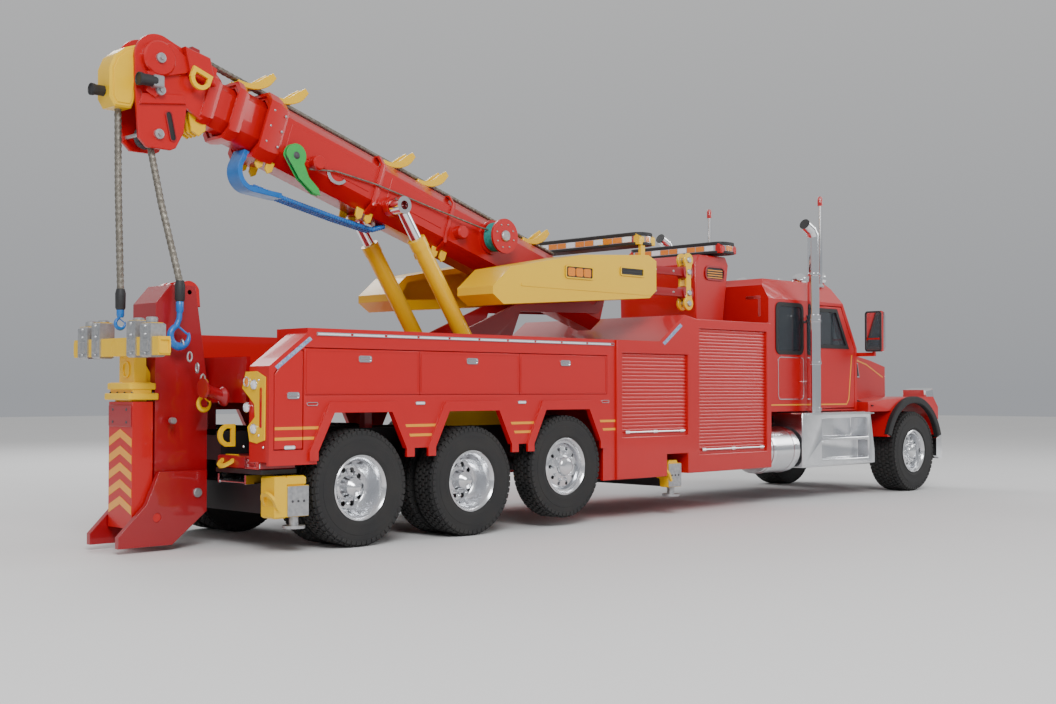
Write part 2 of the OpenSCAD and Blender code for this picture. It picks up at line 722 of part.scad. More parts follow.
module winch() {
    for (y = [boom_w / 2 - 1, boom_w / 2 + 190])
        y_rod(-1700, 90, y, y + 26, 190);
    y_rod(-1700, 90, boom_w / 2 - 1, boom_w / 2 + 200, 110);
}

module boom_middle() truck() boom_frame() color(red) {
    box_section(700, boom_len + 330, mid_w, mid_h, 105, boom_wall);
    collar(boom_len + 260, boom_len + 330, mid_w - 10, mid_h - 10);
    slide_pad(boom_len + 100, boom_len + 300, tip_w, tip_h);
}

head_s = boom_len + 960;

module boom_tip() truck() boom_frame() color(red) {
    box_section(1000, boom_len + 620, tip_w, tip_h, 90, boom_wall);
    both() slab([[-boom_len - 560, -190], [-head_s + 80, -330], [-head_s - 130, -330],
        [-head_s - 330, -120], [-head_s - 330, 130], [-head_s - 150, 330],
        [-head_s + 120, 330], [-boom_len - 560, 170]], tip_w / 2 - 31, tip_w / 2 + 9);
    y_rod(-head_s, 120, -tip_w / 2 - 60, tip_w / 2 + 60, 60);
    for (y = [-60, 60]) y_rod(-head_s, 120, y - 25, y + 25, 190);
    y_rod(-head_s - 60, -200, -tip_w / 2 - 20, tip_w / 2 + 20, 45);
    for (y = [-60, 60]) y_rod(-head_s - 60, -200, y - 25, y + 25, 110);
    across([[-130, -40], [130, -40], [130, 190], [60, 250], [-60, 250], [-130, 190]],
        -head_s - 520, -head_s - 200);
}

module on_cylinder() translate([base_x, 0, base_z]) rotate([0, -cyl_tilt, 0]) children();

module lift_barrels() truck() on_cylinder() color(yellow) both() translate([0, cyl_y, 0]) {
    difference() {
        union() {
            translate([0, 0, 70]) cylinder(h = barrel_len - 70, r = barrel_r - 6);
            translate([0, 0, barrel_len - 110]) cylinder(h = 110, r = barrel_r);
            rotate([90, 0, 0]) cylinder(h = 2 * barrel_r - 20, r = 85, center = true);
        }
        rotate([90, 0, 0]) cylinder(h = 3 * barrel_r, r = 45 + run, center = true);
        translate([0, 0, 120]) cylinder(h = barrel_len, r = rod_r + run);
    }
}

module lift_rods() truck() on_cylinder() color(chrome) both() translate([0, cyl_y, 0])
    difference() {
        union() {
            translate([0, 0, rod_start]) cylinder(h = cyl_len - 40 - rod_start, r = rod_r);
            translate([0, 0, cyl_len]) rotate([90, 0, 0])
                cylinder(h = 2 * barrel_r - 40, r = 90, center = true);
        }
        translate([0, 0, cyl_len]) rotate([90, 0, 0])
            cylinder(h = 3 * barrel_r, r = 46, center = true);
    }

// ---------- outriggers ----------
module outrigger(s, x) truck() color(yellow) side(s) difference() {
    union() {
        block(x - beam_w / 2, x + beam_w / 2, 30, skin_y - 120, beam_z, beam_z + beam_h);
        block(x - beam_w / 2 - 15, x + beam_w / 2 + 15, skin_y - 145, skin_y - 25,
            beam_z - 20, beam_z + beam_h + 20);
    }
    z_rod(x, skin_y - 85, foot_z - 10, beam_z + beam_h + 15, stem_r + run);
}

module foot(s, x) truck() color(yellow) side(s) {
    z_rod(x, skin_y - 85, foot_z, foot_z + 25, foot_r);
    z_rod(x, skin_y - 85, foot_z + 24, beam_z + beam_h + 5, stem_r);
}

module outrigger_front_left() outrigger(1, front_beam_x);
module outrigger_front_right() outrigger(-1, front_beam_x);
module outrigger_rear_left() outrigger(1, rear_beam_x);
module outrigger_rear_right() outrigger(-1, rear_beam_x);
module foot_front_left() foot(1, front_beam_x);
module foot_front_right() foot(-1, front_beam_x);
module foot_rear_left() foot(1, rear_beam_x);
module foot_rear_right() foot(-1, rear_beam_x);

// ---------- underlift ----------
lift_x = -1500;
lift_z = 300;
lift_pin_r = 40;
lift_half = 210;
lift_t = 205;
lift_top = 1320;
socket_r = 22;     // bore of a fork socket

module underlift_mast() truck() color(dark_red) {
    difference() {
        union() {
            slab([[-1480, 420], [rail_rear, 420], [rail_rear, 1500], [-1080, 2370],
                [-1330, 2370], [-1480, 2200]], -200, 200);
            both() slab([[rear_x, 50], [-1350, 50], [-1000, 330], [-1000, 700],
                [-1480, 700], [-1600, 420], [rear_x, 150]], lift_half + 15, lift_half + 75);
            block(-1400, -1000, -lift_half - 20, lift_half + 20, 425, 640);
        }
        y_rod(lift_x, lift_z, -600, 600, lift_pin_r + run);
        block(-1380, -1060, -140, 140, 1800, 2250);
    }
}

module underlift_boom() truck() color(red) {
    difference() {
        block(lift_x - lift_t, lift_x - 5, -lift_half, lift_half, 205, lift_top);
        block(lift_x - lift_t + 25, lift_x - 30, -lift_half + 60, lift_half - 60, 420,
            lift_top + 1);
    }
    y_rod(lift_x, lift_z, -lift_half - 70, lift_half + 70, lift_pin_r);
    block(lift_x - 60, lift_x, -lift_half, lift_half, 215, 380);
}

module underlift_stinger() truck() color(yellow) {
    w = lift_half - 60 - run;
    block(lift_x - lift_t + 25 + run, lift_x - 35, -w, w, 470, lift_top + 60);
    block(lift_x - lift_t + 5, lift_x - 15, -200, 200, lift_top + 20, lift_top + 170);
    block(lift_x - 150, lift_x - 30, -130, 130, lift_top + 169, lift_top + 400);
    x_rod(lift_x - 270, lift_x - 40, 0, lift_top + 480, 60);
    block(lift_x - 150, lift_x - 40, -90, 90, lift_top + 399, lift_top + 560);
}

module crossbar() truck() color(yellow) {
    z = lift_top + 480;
    difference() {
        block(lift_x - 270, lift_x - 155, -750, 750, z - 80, z + 80);
        x_rod(lift_x - 280, lift_x - 140, 0, z, 60 + run);
    }
    both() difference() {
        block(lift_x - 272, lift_x - 160, 250, 380, z + 79, z + 230);
        z_rod(lift_x - 216, 315, z + 81, z + 231, socket_r);
    }
    both() block(lift_x - 272, lift_x - 160, 480, 640, z + 79, z + 200);
}

frame_rails();
axle_beams();
engine_block();
fuel_tanks();
cab_steps();
front_bumper();
exhaust_stacks();
cab_shell();
cab_glass();
cab_seats();
dashboard();
mirrors();
left_bins();
right_bins();
deck();
tunnel_boxes();
shutters();
slew_pedestal();
light_mast();
underlift_mast();
hood();
cab_door_left();
cab_door_right();
knuckle_left();
knuckle_right();
steer_wheel_left();
steer_wheel_right();
pusher_wheel_left();
pusher_wheel_right();
front_duals_left();
front_duals_right();
rear_duals_left();
rear_duals_right();
bin_door_rear_left();
bin_door_rear_right();
bin_door_mid_left();
bin_door_mid_right();
bin_door_front_left();
bin_door_front_right();
corner_door_left();
corner_door_right();
turret_frame();
turret_covers();
boom_outer();
boom_middle();
boom_tip();
lift_barrels();
lift_rods();
outrigger_front_left();
outrigger_front_right();
outrigger_rear_left();
outrigger_rear_right();
foot_front_left();
foot_front_right();
foot_rear_left();
foot_rear_right();
underlift_boom();
underlift_stinger();
crossbar();
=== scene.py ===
"""Finishes and fine pieces of a rotator tow truck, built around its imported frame."""

import json
import math

import bmesh
import bpy
import numpy as np
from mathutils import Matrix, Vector
from mathutils.bvhtree import BVHTree


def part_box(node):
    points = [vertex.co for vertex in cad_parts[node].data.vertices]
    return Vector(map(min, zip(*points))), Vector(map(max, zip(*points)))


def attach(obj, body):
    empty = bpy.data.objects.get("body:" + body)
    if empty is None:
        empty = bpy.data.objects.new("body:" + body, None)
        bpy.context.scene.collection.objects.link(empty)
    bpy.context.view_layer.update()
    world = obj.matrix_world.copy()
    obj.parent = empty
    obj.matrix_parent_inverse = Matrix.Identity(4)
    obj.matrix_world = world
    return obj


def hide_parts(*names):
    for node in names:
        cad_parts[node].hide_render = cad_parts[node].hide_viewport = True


bl_info = {
    "name": "Rotator tow truck",
    "version": (1, 0, 0),
    "blender": (4, 5, 0),
    "location": "View3D > Sidebar > Tow truck",
    "description": "Builds the visible pieces of a rotator tow truck around its frame",
    "category": "Object",
}

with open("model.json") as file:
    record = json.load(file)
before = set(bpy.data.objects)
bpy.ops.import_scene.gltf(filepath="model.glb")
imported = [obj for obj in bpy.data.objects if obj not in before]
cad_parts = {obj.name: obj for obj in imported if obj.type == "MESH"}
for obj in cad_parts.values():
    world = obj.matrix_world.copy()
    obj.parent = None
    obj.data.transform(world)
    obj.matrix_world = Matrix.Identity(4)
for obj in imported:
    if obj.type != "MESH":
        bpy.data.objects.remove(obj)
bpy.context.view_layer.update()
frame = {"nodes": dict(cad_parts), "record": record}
SIDES = ((1, "left"), (-1, "right"))
AXLE_X = sum(c[0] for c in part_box("rear_duals_left")) / 2
SKIN_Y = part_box("bin_door_mid_left")[1][1]
CAB_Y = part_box("cab_shell")[1][1]
BOOM_ANGLE = math.radians(17.6)
PIVOT = (AXLE_X + 4.2, 0.0, 2.5)


def at(x, y, z):
    """A place given from the rearmost drive axle, in the frame."""
    return (AXLE_X + x, y, z)


# ---------- shapes: a shape is (points, faces) ----------
def grid(points, wrap_u=False, wrap_v=False):
    """Quads between neighbours of an array of points, which may close on itself each way."""
    m, n = points.shape[:2]
    index = np.arange(m * n).reshape(m, n)
    rows = np.vstack([index, index[:1]]) if wrap_u else index
    cells = np.hstack([rows, rows[:, :1]]) if wrap_v else rows
    quads = np.stack([cells[:-1, :-1], cells[1:, :-1], cells[1:, 1:], cells[:-1, 1:]], -1)
    return points.reshape(-1, 3), quads.reshape(-1, 4).tolist()


def joined(*shapes):
    """Several shapes as one, their faces renumbered."""
    points, faces, start = [], [], 0
    for p, f in shapes:
        points.append(np.asarray(p, float))
        faces += [[i + start for i in face] for face in f]
        start += len(p)
    return np.vstack(points), faces


def moved(shape, origin=(0, 0, 0), x=(1, 0, 0), y=(0, 1, 0), z=(0, 0, 1)):
    """A shape carried to an origin with its own axes along x, y and z."""
    axes = np.array([x, y, z], float)
    return shape[0] @ axes + np.array(origin, float), shape[1]


def mirrored(shape):
    """The shape on the other side of the truck, where y changes its sign."""
    return shape[0] * np.array([1, -1, 1]), [face[::-1] for face in shape[1]]


def both_sides(shape):
    """The shape and its mirror image, as one."""
    return joined(shape, mirrored(shape))


def side_turn(side):
    """What carries a shape drawn on the left to the side asked for."""
    return mirrored if side < 0 else lambda shape: shape


def ring(shape, count, start=0.0):
    """A shape repeated round the Z axis at equal angles."""
    turn = start + np.arange(count) * 2 * np.pi / count
    c, s = np.cos(turn)[:, None], np.sin(turn)[:, None]
    p = shape[0]
    points = np.stack([c * p[:, 0] - s * p[:, 1], s * p[:, 0] + c * p[:, 1],
                       np.broadcast_to(p[:, 2], (count, len(p)))], -1)
    faces = [[i + k * len(p) for i in face] for k in range(count) for face in shape[1]]
    return points.reshape(-1, 3), faces


def lathe(profile, sides=64, closed=True):
    """A profile of (radius, height) turned round the Z axis."""
    rz = np.array(profile, float)
    turn = np.linspace(0, 2 * np.pi, sides, endpoint=False)
    points = np.stack([np.outer(np.cos(turn), rz[:, 0]), np.outer(np.sin(turn), rz[:, 0]),
                       np.broadcast_to(rz[:, 1], (sides, len(rz)))], -1)
    return grid(points, wrap_u=True, wrap_v=closed)


def drawn_in(flat, edge):
    """The outline's corners moved inwards by edge along their miters."""
    flat = np.array(flat, float)
    area = np.sum(flat[:, 0] * np.roll(flat[:, 1], -1) - flat[:, 1] * np.roll(flat[:, 0], -1))
    if area < 0:
        flat = flat[::-1]
    side = np.roll(flat, -1, 0) - flat
    side /= np.maximum(np.linalg.norm(side, axis=1, keepdims=True), 1e-9)
    inward = np.stack([-side[:, 1], side[:, 0]], -1)
    miter = inward + np.roll(inward, 1, 0)
    miter /= np.maximum((miter * miter).sum(1, keepdims=True) / 2, 0.25)
    return flat, flat + miter * edge


def prism(outline, low, high, edge=0.0):
    """An outline in XY drawn from low to high, its corners drawn in by edge at both ends."""
    flat, small = drawn_in(outline, edge)
    n = len(flat)
    levels = [(small, low), (flat, low + edge), (flat, high - edge), (small, high)]
    if edge <= 0:
        levels = [(flat, low), (flat, high)]
    rings = [np.column_stack([f, np.full(n, h)]) for f, h in levels]
    points, faces = grid(np.array(rings), wrap_v=True)
    faces = [face[::-1] for face in faces]
    last = (len(levels) - 1) * n
    return points, faces + [list(range(n))[::-1], list(range(last, last + n))]


def block(low, high, edge=0.004):
    """A box between two corners with drawn-in edges."""
    low, high = np.minimum(low, high), np.maximum(low, high)
    outline = [(low[0], low[1]), (high[0], low[1]), (high[0], high[1]), (low[0], high[1])]
    return prism(outline, low[2], high[2], min(edge, (high - low).min() * 0.4))


def slab(outline, y0, y1, edge=0.004):
    """An outline in X and Z drawn between two Y stations."""
    return moved(prism(outline, min(y0, y1), max(y0, y1), edge), z=(0, 1, 0), y=(0, 0, 1))


def tube(path, radius, sides=12, closed=False, capped=True):
    """A round profile carried along a path; its frame leans on one fixed direction."""
    p = np.array(path, float)
    radius = np.asarray(radius, float)
    radius = radius if radius.ndim == 2 else np.broadcast_to(radius, (len(p),))[:, None]
    if closed:
        along = np.roll(p, -1, 0) - np.roll(p, 1, 0)
    else:
        along = np.gradient(p, axis=0)
    along /= np.linalg.norm(along, axis=1, keepdims=True)
    spread = np.abs(along).mean(0)
    lean = np.eye(3)[int(np.argmin(spread))]
    u = np.cross(along, lean)
    u /= np.linalg.norm(u, axis=1, keepdims=True)
    v = np.cross(along, u)
    turn = np.linspace(0, 2 * np.pi, sides, endpoint=False)
    rim = np.cos(turn)[None, :, None] * u[:, None] + np.sin(turn)[None, :, None] * v[:, None]
    points, faces = grid(p[:, None] + rim * radius[:, :, None], wrap_u=closed, wrap_v=True)
    if capped and not closed:
        last = (len(p) - 1) * sides
        faces = faces + [list(range(sides))[::-1], list(range(last, last + sides))]
    return points, faces


def arc(center, radius, start, end, count=17, x=(1, 0, 0), y=(0, 0, 1)):
    """Points of a circle's arc in the plane of two directions, angles in degrees."""
    turn = np.radians(np.linspace(start, end, count))
    return (np.array(center, float) + radius * np.outer(np.cos(turn), x)
            + radius * np.outer(np.sin(turn), y))


def bow(center, radius, start, end, count=17):
    """An arc in the plane of an outline, as pairs."""
    return arc((*center, 0), radius, start, end, count, y=(0, 1, 0))[:, :2]


def toward_y(shape, x, y, z, side=1):
    """Sets a shape whose axis is Z so that it points out of the truck's side."""
    return moved(shape, (x, y * side, z), x=(side, 0, 0), y=(0, 0, 1), z=(0, side, 0))


def toward_front(shape, x, y, z):
    """Sets a shape whose axis is Z so that it points forwards."""
    return moved(shape, (x, y, z), x=(0, 1, 0), y=(0, 0, 1), z=(1, 0, 0))


def toward_rear(shape, x, y, z):
    """Sets a shape whose axis is Z so that it points backwards."""
    return moved(shape, (x, y, z), x=(0, -1, 0), y=(0, 0, 1), z=(-1, 0, 0))


def boom_place(shape):
    """Carries a shape from the boom's own axes, +X towards its head and +Z off its top."""
    c, s = math.cos(BOOM_ANGLE), math.sin(BOOM_ANGLE)
    return moved(shape, PIVOT, x=(-c, 0, s), y=(0, -1, 0), z=(s, 0, c))


def boom_point(s, y, h):
    """A point in the frame from its distance along the boom, side and height off its middle."""
    c, sn = math.cos(BOOM_ANGLE), math.sin(BOOM_ANGLE)
    return (PIVOT[0] - s * c + h * sn, y, PIVOT[2] + s * sn + h * c)


# ---------- finishes ----------
MADE = {}


def sized(name):
    """A size from the panel."""
    return getattr(bpy.context.scene.tow_sizes, name)


def finish(name, color, second=None, rough=0.4, metal=0.0, coat=0.0, grain=3.0, bump=0.0,
           bump_grain=400.0, mix=0.35, sheen=0.0, alpha=1.0, glow=0.0):
    """A finish on object coordinates: slow noise mixes two colours and stirs the roughness,
    and fine noise raises the surface."""
    if name in MADE:
        return MADE[name]
    material = bpy.data.materials.new(name)
    material.use_nodes = True
    tree = material.node_tree
    nodes, links = tree.nodes, tree.links
    shader = nodes["Principled BSDF"]
    place = nodes.new("ShaderNodeTexCoord")
    slow = nodes.new("ShaderNodeTexNoise")
    slow.inputs["Scale"].default_value = grain
    slow.inputs["Detail"].default_value = 6.0
    links.new(place.outputs["Object"], slow.inputs["Vector"])
    blend = nodes.new("ShaderNodeMix")
    blend.data_type = "RGBA"
    blend.inputs[6].default_value = (*color, 1)
    blend.inputs[7].default_value = (*(second or [c * 0.72 for c in color]), 1)
    spread = nodes.new("ShaderNodeMapRange")
    spread.inputs["From Min"].default_value = 0.35
    spread.inputs["From Max"].default_value = 0.75
    spread.inputs["To Max"].default_value = mix
    links.new(slow.outputs["Fac"], spread.inputs["Value"])
    links.new(spread.outputs["Result"], blend.inputs[0])
    links.new(blend.outputs[2], shader.inputs["Base Color"])
    stir = nodes.new("ShaderNodeMapRange")
    stir.inputs["To Min"].default_value = rough * 0.75
    stir.inputs["To Max"].default_value = min(rough * 1.35, 1.0)
    links.new(slow.outputs["Fac"], stir.inputs["Value"])
    links.new(stir.outputs["Result"], shader.inputs["Roughness"])
    shader.inputs["Metallic"].default_value = metal
    shader.inputs["Coat Weight"].default_value = coat
    shader.inputs["Coat Roughness"].default_value = 0.04
    shader.inputs["Sheen Weight"].default_value = sheen
    shader.inputs["Alpha"].default_value = alpha
    if glow:
        shader.inputs["Emission Color"].default_value = (*color, 1)
        shader.inputs["Emission Strength"].default_value = glow
    if bump:
        fine = nodes.new("ShaderNodeTexNoise")
        fine.inputs["Scale"].default_value = bump_grain
        fine.inputs["Detail"].default_value = 3.0
        links.new(place.outputs["Object"], fine.inputs["Vector"])
        raised = nodes.new("ShaderNodeBump")
        raised.inputs["Strength"].default_value = bump
        raised.inputs["Distance"].default_value = 0.001
        links.new(fine.outputs["Fac"], raised.inputs["Height"])
        links.new(raised.outputs["Normal"], shader.inputs["Normal"])
    MADE[name] = material
    return material


# A painted finish takes its colour from the panel. The others hold theirs: a first colour, and
# a second that slow noise mixes into it.
def painted(name, tone, share, **look):
    """A finish in the panel's colour; share is how much of each channel its mottle keeps."""
    color = tuple(getattr(bpy.context.scene.tow_colors, tone))
    return finish(name, color, tuple(c * k for c, k in zip(color, share)), **look)


def gloss_red():
    return painted("gloss_red", "body_red", (0.7857142857, 0.625, 0.75), rough=0.36, coat=0.35,
                  grain=0.8, bump=0.05, bump_grain=160)


def dark_red():
    return painted("dark_red", "dark_red", (0.6666666667, 0.75, 0.6), rough=0.36, coat=0.6,
                  grain=1.6, bump=0.08, bump_grain=160)


def rope_yellow():
    return painted("gloss_yellow", "yellow", (0.8913043478, 0.8392857143, 1.0), rough=0.4,
                  coat=0.3, grain=2.2, bump=0.08, bump_grain=180)


def bright_chrome():
    return finish("bright_chrome", (0.86, 0.87, 0.89), (0.72, 0.74, 0.78), rough=0.08,
                  metal=1.0, grain=4, bump=0.03, bump_grain=60)


def polished_aluminium():
    return finish("polished_aluminium", (0.78, 0.79, 0.81), (0.62, 0.64, 0.67), rough=0.2,
                  metal=1.0, grain=9, bump=0.10, bump_grain=90)


def tyre_rubber():
    return finish("tyre_rubber", (0.016, 0.016, 0.017), (0.045, 0.042, 0.038), rough=0.72,
                  grain=5, bump=0.5, bump_grain=500, mix=0.5)


def black_rubber():
    return finish("black_rubber", (0.010, 0.010, 0.011), (0.03, 0.03, 0.03), rough=0.6,
                  grain=8, bump=0.3, bump_grain=700)


def satin_black():
    return finish("satin_black", (0.014, 0.014, 0.016), (0.04, 0.038, 0.035), rough=0.45,
                  grain=2.5, bump=0.15, bump_grain=220)


def zinc():
    return finish("zinc", (0.52, 0.53, 0.54), (0.34, 0.35, 0.37), rough=0.42, metal=0.85,
                  grain=28, bump=0.25, bump_grain=120, mix=0.9)


def cast_grey():
    return finish("cast_grey", (0.10, 0.10, 0.11), (0.05, 0.047, 0.045), rough=0.6, metal=0.4,
                  grain=6, bump=0.6, bump_grain=150)


def wire_steel():
    return finish("wire_steel", (0.30, 0.28, 0.24), (0.12, 0.10, 0.08), rough=0.5, metal=0.8,
                  grain=30, bump=0.5, bump_grain=500, mix=0.8)


def hook_blue():
    return painted("hook_blue", "blue", (0.8, 0.5, 0.5454545455), rough=0.4, coat=0.4,
                  grain=12, bump=0.2)


def block_green():
    return painted("block_green", "green", (0.5, 0.6666666667, 0.7142857143), rough=0.4, coat=0.4,
                  grain=10, bump=0.2)


def teal_rope():
    return painted("teal_rope", "teal", (0.5, 0.5, 0.5185185185), rough=0.7, grain=40,
                  bump=0.8, bump_grain=350, mix=0.8)


def stripe_orange():
    return painted("stripe_orange", "orange", (0.9444444444, 1.2352941176, 2.0), rough=0.35,
                  coat=0.6, grain=5)


def strip_blue():
    return finish("strip_blue", (0.16, 0.26, 0.50), (0.55, 0.62, 0.72), rough=0.25, coat=0.5,
                  grain=60, mix=0.8)


def white_lens():
    return finish("white_lens", (0.85, 0.88, 0.92), (0.60, 0.65, 0.72), rough=0.15, coat=1.0,
                  grain=90, glow=0.15, mix=0.6)


def amber_lens():
    return finish("amber_lens", (0.85, 0.26, 0.01), (0.60, 0.15, 0.01), rough=0.15, coat=1.0,
                  grain=90, glow=0.1, mix=0.6)


def red_lens():
    return finish("red_lens", (0.55, 0.005, 0.008), (0.30, 0.003, 0.004), rough=0.12, coat=1.0,
                  grain=90, mix=0.6)


def dark_glass():
    return finish("dark_glass", (0.03, 0.04, 0.05), (0.05, 0.06, 0.07), rough=0.04, coat=1.0,
                  alpha=0.55, grain=1.0, mix=0.3)


def black_leather():
    return finish("black_leather", (0.018, 0.017, 0.018), (0.04, 0.038, 0.038), rough=0.5,
                  grain=8, bump=0.8, bump_grain=260, sheen=0.1)


def black_plastic():
    return finish("black_plastic", (0.022, 0.022, 0.024), (0.045, 0.045, 0.048), rough=0.55,
                  grain=7, bump=0.5, bump_grain=600)


SLOT_FINISH = {
    "paint_red": gloss_red, "paint_dark_red": dark_red, "paint_yellow": rope_yellow,
    "chrome": bright_chrome, "aluminium": polished_aluminium, "frame_black": satin_black,
    "zinc_steel": zinc, "cast_grey": cast_grey, "tyre": tyre_rubber,
    "window_glass": dark_glass, "seat_leather": black_leather, "black_plastic": black_plastic,
}


# ---------- making a piece ----------
def piece(name, shape, body, material, bevel=0.0, smooth=True, replaces=()):
    """Puts a shape into a mesh, merges its doubles, turns its faces outwards and rides it."""
    mesh = bpy.data.meshes.new(name)
    mesh.from_pydata(np.asarray(shape[0], float).tolist(), [], shape[1])
    mesh.update()
    return settle(name, mesh, body, material, bevel, smooth, replaces)


def settle(name, mesh, body, material, bevel=0.0, smooth=True, replaces=(),
           angle=35.0):
    """Merges a mesh's doubles, turns its faces outwards, and makes it a piece on a body."""
    work = bmesh.new()
    work.from_mesh(mesh)
    bmesh.ops.remove_doubles(work, verts=work.verts, dist=1e-5)
    bmesh.ops.dissolve_degenerate(work, edges=work.edges, dist=1e-6)
    bmesh.ops.recalc_face_normals(work, faces=work.faces)
    work.to_mesh(mesh)
    work.free()
    thing = bpy.data.objects.new(name, mesh)
    bpy.context.scene.collection.objects.link(thing)
    mesh.materials.append(material)
    if smooth:
        mesh.shade_smooth()
        mesh.set_sharp_from_angle(angle=math.radians(angle))
    if bevel:
        add_bevel(thing, bevel)
    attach(thing, body)
    if replaces:
        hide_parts(*replaces)
    return thing


def add_bevel(thing, width, segments=2):
    """Rounds the edges where two faces meet at more than 40 degrees."""
    edge = thing.modifiers.new("edge", "BEVEL")
    edge.width = width
    edge.segments = segments
    edge.limit_method = "ANGLE"
    edge.angle_limit = math.radians(40)
    edge.use_clamp_overlap = True
    edge.harden_normals = False


def softened(node, width, material=None, cut=None):
    """A copy of a CAD node with flat faces joined and its edges rounded, in its place. cut
    is a point and a direction past which the copy ends."""
    source = frame["nodes"][node]
    mesh = source.data.copy()
    mesh.materials.clear()
    work = bmesh.new()
    work.from_mesh(mesh)
    bmesh.ops.remove_doubles(work, verts=work.verts, dist=1e-5)
    if cut:
        parts = work.verts[:] + work.edges[:] + work.faces[:]
        bmesh.ops.bisect_plane(work, geom=parts, plane_co=cut[0], plane_no=cut[1],
                               clear_outer=True)
        bmesh.ops.holes_fill(work, edges=[e for e in work.edges if e.is_boundary])
    bmesh.ops.dissolve_limit(work, angle_limit=math.radians(1.0), verts=work.verts,
                             edges=work.edges)
    work.to_mesh(mesh)
    work.free()
    slot = next(s["material_slot"] for s in frame["record"]["subparts"] if s["node"] == node)
    body = next(b for b, ns in frame["record"]["behaviour"]["bodies"].items() if node in ns)
    return settle(node + "_panel", mesh, body, material or SLOT_FINISH[slot](), width,
                  replaces=(node,))


# ---------- stage ----------
def make_stage():
    """A pale floor, a pale surround, soft lights and the camera."""
    scene = bpy.context.scene
    floor = bpy.data.meshes.new("floor")
    half = 60.0
    floor.from_pydata([(-half, -half, -0.001), (half, -half, -0.001), (half, half, -0.001),
                       (-half, half, -0.001)], [], [(0, 1, 2, 3)])
    ground = bpy.data.objects.new("floor", floor)
    scene.collection.objects.link(ground)
    floor.materials.append(finish("floor_pale", (0.80, 0.80, 0.80), (0.76, 0.76, 0.77),
                                  rough=0.85, grain=0.4))
    world = bpy.data.worlds.new("surround")
    scene.world = world
    world.use_nodes = True
    tree = world.node_tree
    back = tree.nodes["Background"]
    ramp = tree.nodes.new("ShaderNodeValToRGB")
    place = tree.nodes.new("ShaderNodeTexCoord")
    split = tree.nodes.new("ShaderNodeSeparateXYZ")
    tree.links.new(place.outputs["Generated"], split.inputs["Vector"])
    tree.links.new(split.outputs["Z"], ramp.inputs["Fac"])
    tree.links.new(ramp.outputs["Color"], back.inputs["Color"])
    ramp.color_ramp.elements[0].color = (0.62, 0.64, 0.68, 1)
    ramp.color_ramp.elements[1].color = (1.0, 1.0, 1.0, 1)
    ramp.color_ramp.elements[1].position = 0.35
    back.inputs["Strength"].default_value = 0.6
    lamp("key_light", (-14, -16, 15), (50, 0, -42), 9, 3600)
    lamp("fill_light", (16, -10, 9), (58, 0, 60), 8, 900)
    lamp("rim_light", (2, 16, 13), (-50, 0, 0), 9, 1300)
    lens = bpy.data.cameras.new("camera")
    lens.lens = 46.8
    lens.sensor_width = 36.0
    lens.clip_end = 300
    camera = bpy.data.objects.new("camera", lens)
    camera.location = at(-7.76, -11.16, 1.42)
    camera.rotation_euler = (math.radians(90 + 1.6), 0, math.radians(-45))
    scene.collection.objects.link(camera)
    scene.camera = camera


def lamp(name, place, turn, size, power):
    """A square soft lamp at a place, turned towards the middle of the truck."""
    data = bpy.data.lights.new(name, "AREA")
    data.size = size
    data.energy = power
    thing = bpy.data.objects.new(name, data)
    thing.location = place
    direction = -np.array(place, float)
    thing.rotation_euler = Vector(direction).to_track_quat("-Z", "Y").to_euler()
    bpy.context.scene.collection.objects.link(thing)


def make_finishes():
    """Gives each CAD node its finish, and rounds the edges of the painted ones."""
    slots = {s["node"]: s["material_slot"] for s in frame["record"]["subparts"]}
    for node, thing in frame["nodes"].items():
        thing.data.materials.clear()
        thing.data.materials.append(SLOT_FINISH[slots[node]]())
    for node, width in SOFT_EDGES.items():
        head_cut = (boom_point(5.42, 0, 0), (-math.cos(BOOM_ANGLE), 0, math.sin(BOOM_ANGLE)))
        softened(node, width, cut=head_cut if node == "boom_tip" else None)


SOFT_EDGES = {
    "left_bins": 0.006, "right_bins": 0.006, "tunnel_boxes": 0.010, "cab_shell": 0.030,
    "cab_door_left": 0.010, "cab_door_right": 0.010, "hood": 0.022, "light_mast": 0.022,
    "underlift_mast": 0.012, "underlift_boom": 0.010, "underlift_stinger": 0.006,
    "crossbar": 0.010, "turret_covers": 0.028, "turret_frame": 0.008, "boom_outer": 0.010,
    "boom_middle": 0.010, "boom_tip": 0.010, "front_bumper": 0.030, "cab_steps": 0.014,
    "corner_door_left": 0.005, "corner_door_right": 0.005, "fuel_tanks": 0.014,
    "outrigger_front_left": 0.006, "outrigger_front_right": 0.006,
    "outrigger_rear_left": 0.006, "outrigger_rear_right": 0.006,
    "bin_door_rear_left": 0.005, "bin_door_rear_right": 0.005, "bin_door_mid_left": 0.005,
    "bin_door_mid_right": 0.005, "bin_door_front_left": 0.005, "bin_door_front_right": 0.005,
    "mirrors": 0.014, "frame_rails": 0.005,
}


